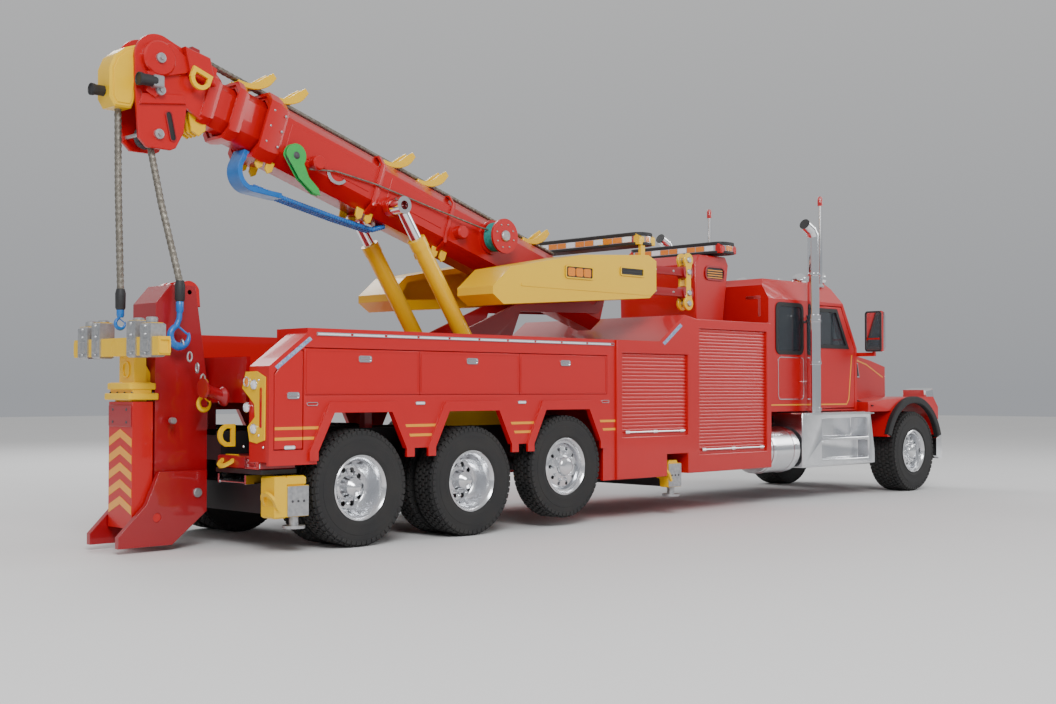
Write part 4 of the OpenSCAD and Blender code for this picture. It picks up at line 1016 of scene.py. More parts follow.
def make_boom_head():
    """Head plates, sheaves, the yellow rope housing, work lights and lifting eyes."""
    body = "boom_tip"
    wheel = (-5.90, 4.39)
    over = bow((wheel[0], wheel[1]), 0.225, 190, 62, 15)
    cheek = np.vstack([[(-5.28, 4.40), (-5.36, 3.95), (-5.46, 3.90), (-5.60, 3.99),
                        (-5.63, 3.76), (-5.71, 3.61), (-5.76, 3.585), (-6.00, 3.585),
                        (-6.08, 3.66), (-6.115, 4.10)], over, [(-5.70, 4.55), (-5.42, 4.46)]])
    plates = [slab(cheek, 0.128, 0.166, 0.006)]
    disc = moved(lathe([(0, 0.055), (0.145, 0.055), (0.160, 0.040), (0.162, 0.0), (0, 0)], 48,
                       closed=False), (wheel[0], 0.164, wheel[1]), y=(0, 0, 1), z=(0, 1, 0))
    brow = slab([(-5.79, 4.55), (-5.55, 4.40), (-5.62, 4.30), (-5.80, 4.25), (-6.0, 4.27),
                 (-5.98, 4.50)], 0.160, 0.200, 0.006)
    rib = slab([(-6.06, 4.06), (-5.66, 4.10), (-5.62, 4.02), (-6.08, 3.96)], 0.160, 0.190, 0.005)
    box = slab([(-5.66, 4.535), (-5.40, 4.47), (-5.34, 4.22), (-5.60, 4.28)], 0.160, 0.245, 0.012)
    bracket = slab([(-6.02, 4.26), (-5.88, 4.24), (-5.86, 4.10), (-5.94, 4.03), (-6.04, 4.08)],
                   0.160, 0.215, 0.006)
    put("head_plates", body, "paint_red", both_sides(joined(*plates, disc, brow, rib, box,
                                                            bracket)), shift=False)
    slots = [moved(band(rounded(-0.036, -0.14, 0.036, 0.14, 0.034), 0.010, 0, 0.012),
                   (-5.765, 0.164, 3.80), x=(0.97, 0, 0.22), y=(-0.22, 0, 0.97), z=(0, 1, 0)),
             slab([(-5.52, 4.50), (-5.44, 4.48), (-5.44, 4.56), (-5.52, 4.58)], 0.02, 0.12)]
    put("head_slot_rims", body, "paint_dark_red", both_sides(joined(*slots)), shift=False)
    # Painted shade: a thin black plate stands in each slot where the head plate is open.
    slot_shade = moved(prism(rounded(-0.028, -0.13, 0.028, 0.13, 0.026), 0, 0.004),
                 (-5.765, 0.165, 3.80), x=(0.97, 0, 0.22), y=(-0.22, 0, 0.97), z=(0, 1, 0))
    put("head_slots", body, "frame_black", both_sides(slot_shade), shift=False)
    groove = [(0.0, -0.035), (0.17, -0.035), (0.178, -0.030), (0.150, -0.014), (0.146, 0.0)]
    groove = groove + [(r, -z) for r, z in groove[-2::-1]]
    small = [(r * 0.6, z) for r, z in groove]
    wheels = [toward_y(lathe(p, 56, closed=False), x, y, z)
              for p, x, z in ((groove, *wheel), (small, -5.885, 3.715))
              for y in (-0.06, 0.06)]
    put("head_sheaves", body, "cast_grey", joined(*wheels), shift=False)
    hubs = [toward_y(lathe([(0, 0.05), (0.022, 0.05), (0.024, 0.028), (0.045, 0.024),
                            (0.048, 0), (0, 0)], 24, closed=False), x, y, z)
            for x, y, z in ((wheel[0], 0.215, wheel[1]), (-5.885, 0.164, 3.715),
                            (-5.90, 0.212, 4.10))]
    spacers = [tube([(x, -0.13, z), (x, 0.13, z)], r, 20)
               for x, z, r in ((-6.04, 3.70, 0.018), (-5.885, 3.715, 0.030),
                               (wheel[0], wheel[1], 0.04), (-5.50, 4.15, 0.04))]
    put("head_pins", body, "zinc_steel", both_sides(joined(*hubs)), *spacers, shift=False)
    housing = [(-5.74, 4.53), (-6.03, 4.515), (-6.19, 4.455), (-6.29, 4.37), (-6.335, 4.26),
             (-6.335, 4.00), (-6.285, 3.92), (-6.125, 3.92), (-6.095, 3.985), (-6.075, 4.14),
             (-6.00, 4.20), (-5.78, 4.22)]
    put("rope_housing", body, "paint_yellow", slab(housing, -0.120, 0.120, 0.016),
        *[slab(drawn_in(housing, 0.035)[1], s * 0.112, s * 0.130, 0.004) for s in (-1, 1)],
        shift=False)
    barrel = lathe([(0, 0), (0.045, 0), (0.052, 0.02), (0.052, 0.13), (0.060, 0.15),
                    (0.060, 0.175), (0.050, 0.178), (0.046, 0.168), (0, 0.166)], 32,
                   closed=False)
    put("work_lights", body, "black_plastic",
        both_sides(toward_rear(barrel, -5.96, 0.245, 4.165)),
        toward_rear((barrel[0] * 0.9, barrel[1]), -6.30, 0.0, 4.06), shift=False)
    put("work_light_mounts", body, "zinc_steel",
        both_sides(block((-6.0, 0.205, 4.11), (-5.90, 0.285, 4.22), 0.01)), shift=False)
    eye = d_ring(0.03)
    put("head_eyes", body, "paint_yellow",
        both_sides(moved((eye[0] * 1.05, eye[1]), (-5.52, 0.262, 4.26), x=(-0.35, 0, -0.94),
                         y=(-0.94, 0, 0.35), z=(0, 1, 0))), shift=False)
    lugs = [slab([(-5.55, 3.97), (-5.36, 3.99), (-5.37, 3.82), (-5.44, 3.76), (-5.52, 3.80)],
                 y - 0.014, y + 0.014, 0.006) for y in (0.03, 0.10)]
    put("head_lugs", body, "paint_yellow", both_sides(joined(*lugs)), shift=False)


def horn(s, n):
    """A curved rope guard: a foot along the boom that sweeps up and back into a blade."""
    t = np.linspace(0, 1, 13)
    middle = np.column_stack([s - 0.36 * t ** 0.85, n + 0.03 + 0.24 * t ** 2.2])
    along = np.gradient(middle, axis=0)
    along /= np.linalg.norm(along, axis=1, keepdims=True)
    off = np.column_stack([-along[:, 1], along[:, 0]]) * np.interp(
        t, [0, 0.35, 0.8, 1], [0.022, 0.028, 0.050, 0.030])[:, None]
    outline = np.vstack([middle + off, (middle - off)[::-1]])
    return joined(slab(outline, -0.075, -0.045, 0.006), slab(outline, 0.045, 0.075, 0.006),
                  block((s - 0.12, -0.06, n - 0.01), (s + 0.02, 0.06, n + 0.03), 0.006))


def collar(s0, s1, half_y, half_n, cut, wall):
    """An eight-sided band round a boom section, wider at its outer end."""
    def outline(grow):
        """The eight corners at one station, moved out by grow."""
        y, n, c = half_y + grow, half_n + grow, cut
        return np.array([(y, n - c), (y - c, n), (c - y, n), (-y, n - c), (-y, c - n),
                         (c - y, -n), (y - c, -n), (y, c - n)])
    stations = ((s0, wall * 0.2), (s0 + (s1 - s0) * 0.55, wall), (s1, wall), (s1, 0.0),
                (s0, 0.0))
    rings = [np.column_stack([np.full(8, s), outline(g)]) for s, g in stations]
    return grid(np.array(rings), wrap_u=True, wrap_v=True)


def make_boom_fittings():
    """Collars, rope guards, ropes, winch coils and the fittings on the boom's sides."""
    fit("outer_collar", "boom_outer", "paint_red", collar(4.56, 4.80, 0.232, 0.302, 0.09, 0.035),
        collar(3.30, 3.38, 0.232, 0.302, 0.09, 0.018), collar(2.30, 2.36, 0.232, 0.302, 0.09,
                                                             0.014))
    fit("middle_collar", "boom_middle", "paint_red",
        collar(5.00, 5.13, 0.194, 0.264, 0.08, 0.030))
    fit("tip_collar", "boom_tip", "paint_red", collar(5.28, 5.42, 0.156, 0.226, 0.06, 0.030))
    fit("middle_horn", "boom_middle", "paint_yellow", horn(5.09, 0.294))
    fit("outer_horns", "boom_outer", "paint_yellow",
        *[horn(s, 0.325 if s > 4.4 else 0.300) for s in (4.70, 3.24, 2.75, 1.10)])
    for body, s0, s1, r in (("boom_tip", 0.55, 5.60, 0.0200), ("boom_middle", 2.6, 5.10, 0.0207),
                            ("boom_outer", 1.2, 4.78, 0.0214)):
        fit(f"top_ropes_{body}", body, "cast_grey",
            *[rope([(s0, y, 0.362), (s1, y, 0.362)], r) for y in (-0.02, 0.027)],
            own=wire_steel())
    bolts = []
    for s in (4.60, 4.74):
        for n in (-0.16, 0.0, 0.16):
            bolts.append(toward_y(nut(0.012, 0.012), s, 0.262 if s > 4.69 else 0.255, n))
    fit("collar_bolts", "boom_outer", "zinc_steel", both_sides(joined(*bolts)))
    panel = [slab([(3.44, -0.12), (4.50, -0.12), (4.50, 0.14), (3.44, 0.14)], 0.226, 0.236,
                  0.004),
             slab([(2.42, -0.10), (3.20, -0.10), (3.20, 0.14), (2.42, 0.14)], 0.226, 0.236,
                  0.004)]
    fit("boom_side_plates", "boom_outer", "paint_red", both_sides(joined(*panel)))
    coil = [(0.100, 0.262)]
    for y in np.linspace(0.272, 0.412, 8):
        coil += [(0.150, y - 0.007), (0.160, y), (0.150, y + 0.007)]
    coil.append((0.100, 0.422))
    winch = [toward_y(lathe(coil, 40), 1.70, 0.0, 0.09)]
    fit("winch_ropes", "boom_outer", "black_plastic", both_sides(joined(*winch)),
        own=teal_rope())
    hubs = [toward_y(lathe([(0, 0.020), (0.05, 0.020), (0.06, 0.012), (0.062, -0.004),
                            (0, -0.004)], 28, closed=False), 1.70, 0.448, 0.09)]
    nuts = ring(moved(nut(0.010, 0.012), (0.13, 0, 0)), 8)
    hubs.append(toward_y(nuts, 1.70, 0.444, 0.09))
    fit("winch_hubs", "boom_outer", "zinc_steel", both_sides(joined(*hubs)))
    cheek = np.vstack([bow((4.40, -0.16), 0.115, -20, 200, 19),
                       [(4.20, -0.30), (4.06, -0.36), (4.02, -0.42), (4.10, -0.43),
                        (4.30, -0.36)]])
    fit("snatch_block", "boom_outer", "paint_yellow", slab(cheek, 0.236, 0.252, 0.004),
        slab(cheek, 0.284, 0.300, 0.004), own=block_green())
    fit("snatch_wheel", "boom_outer", "cast_grey",
        toward_y(lathe([(0, 0), (0.095, 0), (0.078, 0.012), (0.095, 0.028), (0, 0.028)], 36,
                       closed=False), 4.40, 0.254, -0.16),
        toward_y(nut(0.03, 0.02), 4.40, 0.300, -0.16))
    boss = lathe([(0, 0.10), (0.060, 0.10), (0.072, 0.085), (0.072, 0.0), (0, 0)], 32,
                 closed=False)
    fit("side_bosses", "boom_outer", "paint_red",
        both_sides(joined(toward_y(boss, 4.14, 0.228, -0.12), toward_y(boss, 2.18, 0.228,
                                                                       -0.05))))
    gauge = np.vstack([bow((3.86, -0.08), 0.135, 205, 335, 15),
                       bow((3.86, -0.08), 0.100, 335, 205, 15)])
    fit("angle_gauge", "boom_outer", "aluminium", both_sides(slab(gauge, 0.234, 0.244, 0.002)))
    cable = [(4.20, 0.262, -0.21), (3.90, 0.262, -0.10), (3.4, 0.262, -0.02),
             (2.6, 0.262, 0.05), (1.95, 0.30, 0.10), (1.78, 0.33, 0.12)]
    fit("side_cable", "boom_outer", "zinc_steel", both_sides(rope(cable, 0.009, 0.05)),
        own=wire_steel())
    hooks = []
    for s in (4.62, 3.36, 2.30):
        for d in (-0.06, 0.06):
            hooks.append(slab([(s + d - 0.045, -0.28), (s + d + 0.045, -0.28),
                               (s + d + 0.040, -0.37), (s + d, -0.405),
                               (s + d - 0.040, -0.37)], 0.120, 0.150, 0.006))
    fit("boom_lugs", "boom_outer", "paint_yellow", both_sides(joined(*hooks)))
    guide = np.vstack([[(4.84, -0.27)], bow((4.66, -0.42), 0.20, 15, -100, 15),
                       [(4.30, -0.55), (4.32, -0.50)],
                       bow((4.66, -0.42), 0.15, -100, 15, 15),
                       [(4.78, -0.27)]])
    fit("hose_guide", "boom_outer", "black_plastic", slab(guide, -0.10, 0.10, 0.004),
        own=hook_blue())
    run = [(4.62, -0.555), (4.2, -0.52), (3.6, -0.46), (3.15, -0.40), (3.02, -0.31)]
    fit("hose_run", "boom_outer", "black_plastic",
        *[ribbed([(s, y, n) for s, n in run], sized("hose") / 2) for y in (-0.055, 0.0, 0.055)],
        own=hook_blue())


def make_ropes():
    """Two hoist ropes from the head to their hooks, with ferrules and a short chain."""
    far = [(-6.195, 0.0, 3.94), (-6.185, 0.0, 3.2), (-6.155, 0.0, 2.30)]
    near = [(-5.905, -0.05, 3.62), (-5.84, -0.14, 3.10), (-5.745, -0.31, 2.38)]
    radius = sized("rope") / 2
    put("hoist_ropes", "boom_tip", "cast_grey", rope(far, radius), rope(near, radius),
        own=wire_steel(), shift=False)
    sleeve = lathe([(0, 0), (0.026, 0), (0.044, 0.03), (0.046, 0.16), (0.036, 0.20), (0, 0.20)],
                   24, closed=False)
    put("rope_sleeves", "boom_tip", "black_plastic", moved(sleeve, (-6.155, 0.0, 2.12)),
        moved(sleeve, (-5.745, -0.31, 2.20)), shift=False)
    put("hoist_hooks", "boom_tip", "black_plastic", hoist_hook(-6.155, 0.0, 2.165, 0.62),
        hoist_hook(-5.745, -0.31, 2.21, 1.25), own=hook_blue(), shift=False)
    links, path = [], [(-5.72, -0.31, 1.83), (-5.66, -0.34, 1.72), (-5.60, -0.37, 1.62),
                       (-5.56, -0.40, 1.52)]
    for k, (x, y, z) in enumerate(path):
        loop = np.array([(0.022 * np.cos(a), 0.042 * np.sin(a), 0)
                         for a in np.linspace(0, 2 * np.pi, 16, endpoint=False)])
        link = tube(loop, sized("chain") / 2, 8, closed=True)
        links.append(moved(link, (x, y, z), x=(1, 0, 0) if k % 2 else (0, 1, 0), y=(0, 0, 1),
                           z=(0, -1, 0) if k % 2 else (1, 0, 0)))
    put("hook_chain", "boom_tip", "zinc_steel", *links, shift=False)
    put("grab_hook", "boom_tip", "paint_yellow", hoist_hook(-5.55, -0.41, 1.50, 0.8),
        shift=False)


# ---------- turret, cab and hood ----------
def side_of(node, x, z):
    """How far out the left side of a CAD node lies at a place seen from the side."""
    if node not in TREES:
        mesh = frame["nodes"][node].data
        TREES[node] = BVHTree.FromPolygons([v.co[:] for v in mesh.vertices],
                                           [p.vertices[:] for p in mesh.polygons])
    hit = TREES[node].ray_cast(Vector((x + AXLE_X, 5.0, z)), Vector((0, -1, 0)))[0]
    return hit[1] if hit else CAB_Y


TREES = {}


def cling(node, outline, lift, width=0.0):
    """A plate, or a rim where width is given, whose corners follow a node's left side."""
    flat, inner = drawn_in(outline, width or 0.01)
    def level(points, rise):
        """The outline laid on the node's side, raised by rise."""
        ys = [side_of(node, x, z) + rise for x, z in points]
        return np.column_stack([points[:, 0], ys, points[:, 1]])
    if width:
        rings = [level(flat, -0.004), level(flat, lift), level(inner, lift),
                 level(inner, -0.004)]
        return grid(np.array(rings), wrap_u=True, wrap_v=True)
    points, faces = grid(np.array([level(flat, -0.004), level(flat, lift)]), wrap_v=True)
    n = len(flat)
    return points, faces + [list(range(n))[::-1], list(range(n, 2 * n))]


def light_bar(x0, x1, half_y, z0, z1):
    """A lamp bar's layers: base and lid with rounded ends, and lens blocks between them."""
    grow = 0.012
    base = prism(rounded(x0 - grow, -half_y - grow, x1 + grow, half_y + grow, 0.12), z0 - 0.004,
                 z0 + 0.030, 0.006)
    lid = prism(rounded(x0 - grow, -half_y - grow, x1 + grow, half_y + grow, 0.12), z1 - 0.034,
                z1 + 0.010, 0.008)
    core = prism(rounded(x0 - 0.004, -half_y - 0.004, x1 + 0.004, half_y + 0.004, 0.11),
                 z0 + 0.028, z1 - 0.032)
    lens, clear = [], []
    count = int(half_y * 2 / 0.16)
    pitch = (2 * half_y - 0.22) / count
    for k in range(count):
        y = -half_y + 0.11 + pitch * k
        for x in (x0, x1):
            (lens if k % 3 else clear).append(
                block((x - 0.009, y + 0.008, z0 + 0.034), (x + 0.009, y + pitch - 0.008,
                                                         z1 - 0.038), 0.003))
    ends = [block((x0 + 0.11, s * half_y - 0.009, z0 + 0.034),
                  (x1 - 0.11, s * half_y + 0.009, z1 - 0.038), 0.003) for s in (-1, 1)]
    return (base, lid), (core,), lens + ends, clear


def make_turret_trim():
    """Lamp recesses with painted shade in them, bone-shaped arm ends and both lamp bars."""
    for name, body, box in (("turret", "turret", (4.20, 4.48, 1.0, 3.09, 3.225)),
                            ("mast", "root", (6.05, 6.38, 0.76, 3.14, 3.275))):
        shells, core, lens, clear = light_bar(*box)
        put(f"{name}_bar_shell", body, "black_plastic", *shells)
        put(f"{name}_bar_core", body, "chrome", *core)
        put(f"{name}_bar_amber", body, "chrome", *lens, own=amber_lens())
        put(f"{name}_bar_clear", body, "chrome", *clear, own=white_lens())
    recess = [rounded(2.86, 2.62, 3.30, 2.76, 0.03), rounded(3.75, 2.70, 4.15, 2.80, 0.02)]
    # Painted shade: black plates laid on the covers inside the raised rims stand for the depth of the recesses.
    put("cover_recesses", "turret", "frame_black",
        both_sides(joined(*[cling("turret_covers", r, 0.004) for r in recess])))
    put("cover_rims", "turret", "paint_yellow",
        both_sides(joined(*[cling("turret_covers", r, 0.014, 0.014) for r in recess])))
    lens = [cling("turret_covers", rounded(x, 2.645, x + 0.11, 2.735, 0.02), 0.010)
            for x in (2.90, 3.025, 3.15)]
    put("cover_lamps", "turret", "chrome", both_sides(joined(*lens)), own=amber_lens())
    vents = [cling("turret_covers", rounded(3.78, z, 4.12, z + 0.014, 0.006), 0.010)
             for z in (2.715, 2.742, 2.769)]
    put("cover_slats", "turret", "black_plastic", both_sides(joined(*vents)))
    crease = [cling("turret_covers", rounded(2.20, 2.50, 4.30, 2.53, 0.012), 0.006)]
    put("cover_crease", "turret", "paint_yellow", both_sides(joined(*crease)))
    bone = np.vstack([bow((5.20, 2.98), 0.085, -40, 220, 13),
                      [(5.155, 2.86), (5.155, 2.58)],
                      bow((5.20, 2.46), 0.085, 140, 400, 13),
                      [(5.245, 2.58), (5.245, 2.86)]])
    put("arm_bones", "turret", "paint_yellow",
        both_sides(joined(slab(bone, 0.892, 0.925, 0.006), slab(bone, 0.795, 0.828, 0.006))))
    pins = [toward_y(lathe([(0, 0.016), (0.030, 0.016), (0.036, 0.008), (0.036, -0.14),
                            (0, -0.14)], 24, closed=False), 5.20, 0.925, z)
            for z in (2.98, 2.835, 2.585, 2.46)]
    pins += [toward_y(nut(0.014, 0.012), x, 0.888, z) for x in (4.62, 4.95)
             for z in (2.585, 2.835)]
    put("arm_pins", "turret", "zinc_steel", both_sides(joined(*pins)))
    opening = rounded(5.90, 2.80, 6.30, 2.98, 0.07)
    # Painted shade: a black plate laid on the mast fills the vent's opening, behind the slats.
    put("mast_vents", "root", "frame_black", both_sides(cling("light_mast", opening, 0.004)))
    put("mast_vent_rims", "root", "paint_dark_red",
        both_sides(cling("light_mast", opening, 0.016, 0.02)))
    slats = [cling("light_mast", rounded(5.95, z, 6.25, z + 0.012, 0.005), 0.012)
             for z in (2.83, 2.86, 2.89, 2.92)]
    put("mast_slats", "root", "paint_yellow", both_sides(joined(*slats)), own=stripe_orange())


def door_glass_outline():
    """The corners of a cab door's window, in X and Z."""
    return [(7.770, 2.010), (8.460, 2.010), (8.200, 2.480), (7.770, 2.480)]


def make_cab_trim():
    """Window rubbers, door glass, stripes, handles, posts, roof lamps and mirrors."""
    y = 1.050
    sleeper = rounded(6.800, 1.880, 7.420, 2.550, 0.09)
    put("sleeper_rubbers", "root", "black_plastic",
        both_sides(on_side(band(sleeper, 0.050, -0.004, 0.012), y)), own=black_rubber())
    put("sleeper_panes", "root", "window_glass",
        both_sides(on_side(prism(rounded(6.82, 1.90, 7.40, 2.53, 0.07), -0.008, 0.003), y)))
    put("luggage_rims", "root", "aluminium",
        both_sides(on_side(band(rounded(6.85, 1.30, 7.43, 1.85, 0.06), 0.012, -0.001, 0.005),
                           y)))
    lines = [block((6.665, y - 0.001, 1.225), (7.605, y + 0.002, 1.243), 0.0008)]
    put("sleeper_stripes", "root", "paint_yellow", both_sides(joined(*lines)),
        own=stripe_orange())
    mark = [block((6.647, 0.70, 2.585), (6.651, 0.93, 2.625), 0.0008),
            block((6.647, 0.89, 2.36), (6.651, 0.93, 2.59), 0.0008)]
    put("rear_wall_marks", "root", "aluminium", both_sides(joined(*mark)))
    for side, label in SIDES:
        turn = side_turn(side)
        body = f"cab_door_{label}"
        outline = drawn_in(door_glass_outline(), -0.030)[1]
        put(f"door_rubber_{label}", body, "black_plastic",
            turn(on_side(band(outline, 0.048, -0.004, 0.012), y)), own=black_rubber())
        pane = drawn_in(door_glass_outline(), -0.012)[1]
        put(f"door_pane_{label}", body, "window_glass",
            turn(on_side(prism(pane, -0.014, -0.006), y)))
        path = [(7.64, 1.225), (8.46, 1.225), (8.52, 1.30), (8.60, 1.90), (8.58, 1.90),
                (8.502, 1.308), (8.452, 1.243), (7.64, 1.243)]
        put(f"door_stripe_{label}", body, "paint_yellow",
            turn(on_side(prism(path, -0.001, 0.002), y)), own=stripe_orange())
        put(f"door_latch_{label}", body, "chrome", turn(on_side(paddle(7.75, 1.80, 0.16, 0.05),
                                                                y)))
    rail = np.vstack([[(7.545, 1.045, 1.42)], arc((7.545, 1.075, 1.46), 0.045, -90, 0, 6,
                                                  x=(0, 1, 0), y=(0, 0, 1)),
                      arc((7.545, 1.075, 2.34), 0.045, 0, 90, 6, x=(0, 1, 0), y=(0, 0, 1)),
                      [(7.545, 1.045, 2.38)]])
    put("grab_rails", "root", "chrome", both_sides(tube(rail, 0.014, 14)))
    posts = [moved(lathe([(0, 0), (0.05, 0), (0.05, 0.02), (0.028, 0.04), (0.026, 1.08),
                          (0.030, 1.09), (0.030, 1.10), (0, 1.10)], 20, closed=False),
                   (8.02, 0.93, 2.80))]
    put("tall_posts", "root", "chrome", both_sides(joined(*posts)))
    tips = [moved(lathe([(0, 0), (0.034, 0), (0.034, 0.10), (0.026, 0.125), (0, 0.13)], 20,
                        closed=False), (8.02, 0.93, 3.895))]
    put("post_tips", "root", "paint_dark_red", both_sides(joined(*tips)), own=red_lens())
    dome = lathe([(0, 0.035), (0.020, 0.032), (0.036, 0.018), (0.042, 0.0), (0.042, -0.02),
                  (0, -0.02)], 20, closed=False)
    put("roof_lamps", "root", "chrome",
        *[moved(dome, (8.10, k, 2.85)) for k in (-0.64, -0.32, 0.0, 0.32, 0.64)],
        own=amber_lens())
    pod = lathe([(0, -0.10), (0.05, -0.09), (0.085, -0.02), (0.095, 0.05), (0.098, 0.06),
                 (0.088, 0.062), (0, 0.055)], 32, closed=False)
    pods = [toward_front(pod, 8.15, k, 2.93)
            for k in (0.48, 0.80)]
    feet = [block((8.10, k - 0.03, 2.80), (8.18, k + 0.03, 2.86), 0.006) for k in (0.48, 0.80)]
    horns = [tube([(7.45, 0.25, 2.90), (7.95, 0.25, 2.90)], 0.018, 16),
             toward_front(lathe([(0.018, 0), (0.024, 0.06), (0.05, 0.11), (0.062, 0.12), (0.05, 0.118),
                          (0, 0.06)], 28, closed=False), 7.94, 0.25, 2.90),
             block((7.55, 0.235, 2.84), (7.58, 0.265, 2.90), 0.004)]
    put("roof_pods", "root", "chrome", both_sides(joined(*pods, *feet, *horns)))
    shell = slab([(8.765, 1.945), (8.795, 1.945), (8.848, 2.02), (8.848, 2.435), (8.785, 2.498),
                  (8.765, 2.498)], 1.182, 1.438, 0.02)
    put("mirror_shells", "root", "chrome", both_sides(shell))
    rim = band(rounded(1.185, 1.945, 1.435, 2.495, 0.04), 0.022, -0.004, 0.014)
    put("mirror_frames", "root", "black_plastic", both_sides(on_rear(rim, 8.72)))
    faces = [prism(rounded(1.205, 2.13, 1.415, 2.475, 0.03), -0.002, 0.006),
             prism(rounded(1.205, 1.965, 1.415, 2.11, 0.03), -0.002, 0.006)]
    put("mirror_faces", "root", "chrome", both_sides(on_rear(joined(*faces), 8.72)))


def make_hood_trim():
    """Vents with painted shade, fender flares, headlamp shells, grille bars and bumper lamps."""
    vent = [(8.90, 1.86), (9.02, 1.62), (9.34, 1.60), (9.28, 1.80)]
    # Painted shade: a black plate laid on the hood fills each vent inside its bright rim.
    put("hood_vents", "hood", "frame_black", both_sides(cling("hood", vent, 0.006)))
    put("hood_vent_rims", "hood", "chrome", both_sides(cling("hood", vent, 0.012, 0.014)))
    line = [(8.80, 1.90), (8.90, 1.915), (9.60, 1.80), (10.20, 1.62), (10.20, 1.60),
            (9.60, 1.78), (8.90, 1.895), (8.80, 1.88)]
    put("hood_stripes", "hood", "paint_yellow", both_sides(cling("hood", line, 0.003)),
        own=stripe_orange())
    out = bow((9.90, 0.56), 0.775, 16, 161, 33)
    flare = np.vstack([out, bow((9.90, 0.56), 0.680, 161, 16, 33)])
    put("fender_flares", "hood", "black_plastic", both_sides(slab(flare, 1.190, 1.272, 0.012)),
        own=black_rubber())
    lamp = slab([(10.40, 1.205), (10.60, 1.190), (10.645, 1.26), (10.605, 1.452),
                 (10.36, 1.425)], 0.79, 1.165, 0.02)
    put("headlamp_shells", "hood", "chrome", both_sides(lamp))
    lens = moved(prism(rounded(0.83, 1.24, 1.13, 1.40, 0.04), 0, 0.022, 0.006),
                 (10.625, 0, 0), x=(0, 1, 0), y=(0.1, 0, 1), z=(1, 0, 0))
    put("headlamp_lenses", "hood", "chrome",
        both_sides((lens[0] - np.array([0.14, 0, 0]), lens[1])), own=white_lens())
    bars = [block((10.436, y - 0.006, 1.15), (10.456, y + 0.006, 1.64), 0.002)
            for y in np.linspace(-0.40, 0.40, 17)]
    bars += [block((10.434, -0.42, z - 0.008), (10.462, 0.42, z + 0.008), 0.003)
             for z in (1.24, 1.40, 1.56)]
    surround = toward_front(band(rounded(-0.46, 1.11, 0.46, 1.68, 0.06), 0.035, -0.01, 0.030), 10.440, 0, 0)
    put("grille_bars", "hood", "chrome", surround, *bars)
    # A black plate behind the grille bars: partly the radiator's dark face, partly painted shade between the bars.
    back = toward_front(prism(rounded(-0.44, 1.13, 0.44, 1.66, 0.04), 0.0, 0.004), 10.438, 0, 0)
    put("grille_back", "hood", "frame_black", back)
    fog = [toward_front(lamp_rim(0.075), 10.748, y, 0.61)
           for y in (0.62, 0.90)]
    glass = [toward_front(lamp_lens(0.075), 10.750, y, 0.61)
             for y in (0.62, 0.90)]
    put("bumper_lamp_rims", "root", "chrome", both_sides(joined(*fog)))
    put("bumper_lamps", "root", "chrome", both_sides(joined(*glass)), own=white_lens())
    latch = [cling("hood", rounded(8.86, 1.20, 8.90, 1.34, 0.018), 0.02)]
    put("hood_latches", "hood", "black_plastic", both_sides(joined(*latch)))


def make_side_metal():
    """Stack mouths filled with painted shade, stack clamps, tank straps and step treads."""
    bands = [moved(lathe([(0.079, 0), (0.094, 0.006), (0.094, 0.034), (0.079, 0.04)], 36),
                   (7.44, 1.20, z)) for z in (2.36, 2.90)]
    bands += [moved(lathe([(0.089, 0), (0.100, 0.006), (0.100, 0.034), (0.089, 0.04)], 36),
                    (7.44, 1.20, z)) for z in (1.16, 1.75, 2.30)]
    put("stack_clamps", "root", "chrome", both_sides(joined(*bands)))
    t = math.radians(65)
    # Painted shade: a black disc closes each stack's open end, standing for the dark inside of the pipe.
    mouth = moved(lathe([(0, 0.0), (0.070, 0.0), (0.070, 0.006), (0, 0.006)], 36, closed=False),
                  (7.44 - 0.060 - 0.150 * math.sin(t), 1.20, 1.13 + 2.37 + 0.150 * math.cos(t)),
                  x=(math.cos(t), 0, math.sin(t)), y=(0, 1, 0), z=(-math.sin(t), 0, math.cos(t)))
    put("stack_mouths", "root", "frame_black", both_sides(mouth))
    straps = [toward_front(lathe([(0.286, -0.03), (0.293, -0.028), (0.293, 0.028), (0.286, 0.03)], 64), x, 0.96, 0.665)
              for x in (6.50, 6.95)]
    put("tank_straps", "root", "chrome", both_sides(joined(*straps)))
    treads = [block((7.60 + 0.052 * k, 1.08, 1.129),
                    (7.63 + 0.052 * k, 1.235, 1.129 + 0.007), 0.002) for k in range(20)]
    treads += [block((7.12, 1.246, z), (8.82, 1.256, z + 0.02), 0.004) for z in (0.45, 1.10)]
    put("step_treads", "root", "aluminium", both_sides(joined(*treads)))


def pillow(low, high, power=0.42, channels=0, across=1):
    """A crowned closed cushion: a sphere's directions, each cosine and sine raised to a power
    that squares it off, with shallow sewn channels cut by a raised cosine across it."""
    u = np.linspace(-np.pi / 2, np.pi / 2, 33)[1:-1]
    v = np.linspace(-np.pi, np.pi, 64, endpoint=False)
    def soft(a, e):
        """A number's size raised to a power, with its sign kept."""
        return np.sign(a) * np.abs(a) ** e
    cu, su = soft(np.cos(u), power)[:, None], soft(np.sin(u), power)[:, None]
    unit = np.stack([cu * soft(np.cos(v), power), cu * soft(np.sin(v), power),
                     su * np.ones_like(v)], -1)
    low, high = np.array(low, float), np.array(high, float)
    half, middle = (high - low) / 2, (high + low) / 2
    if channels:
        depth = 0.06 * np.abs(np.cos(unit[..., across] * np.pi * channels / 2)) ** 0.35 - 0.06
        unit = unit * (1 + depth[..., None])
    points, faces = grid(unit * half + middle, wrap_v=True)
    n, last = 64, len(points) - 64
    return points, faces + [list(range(n))[::-1], list(range(last, last + n))]


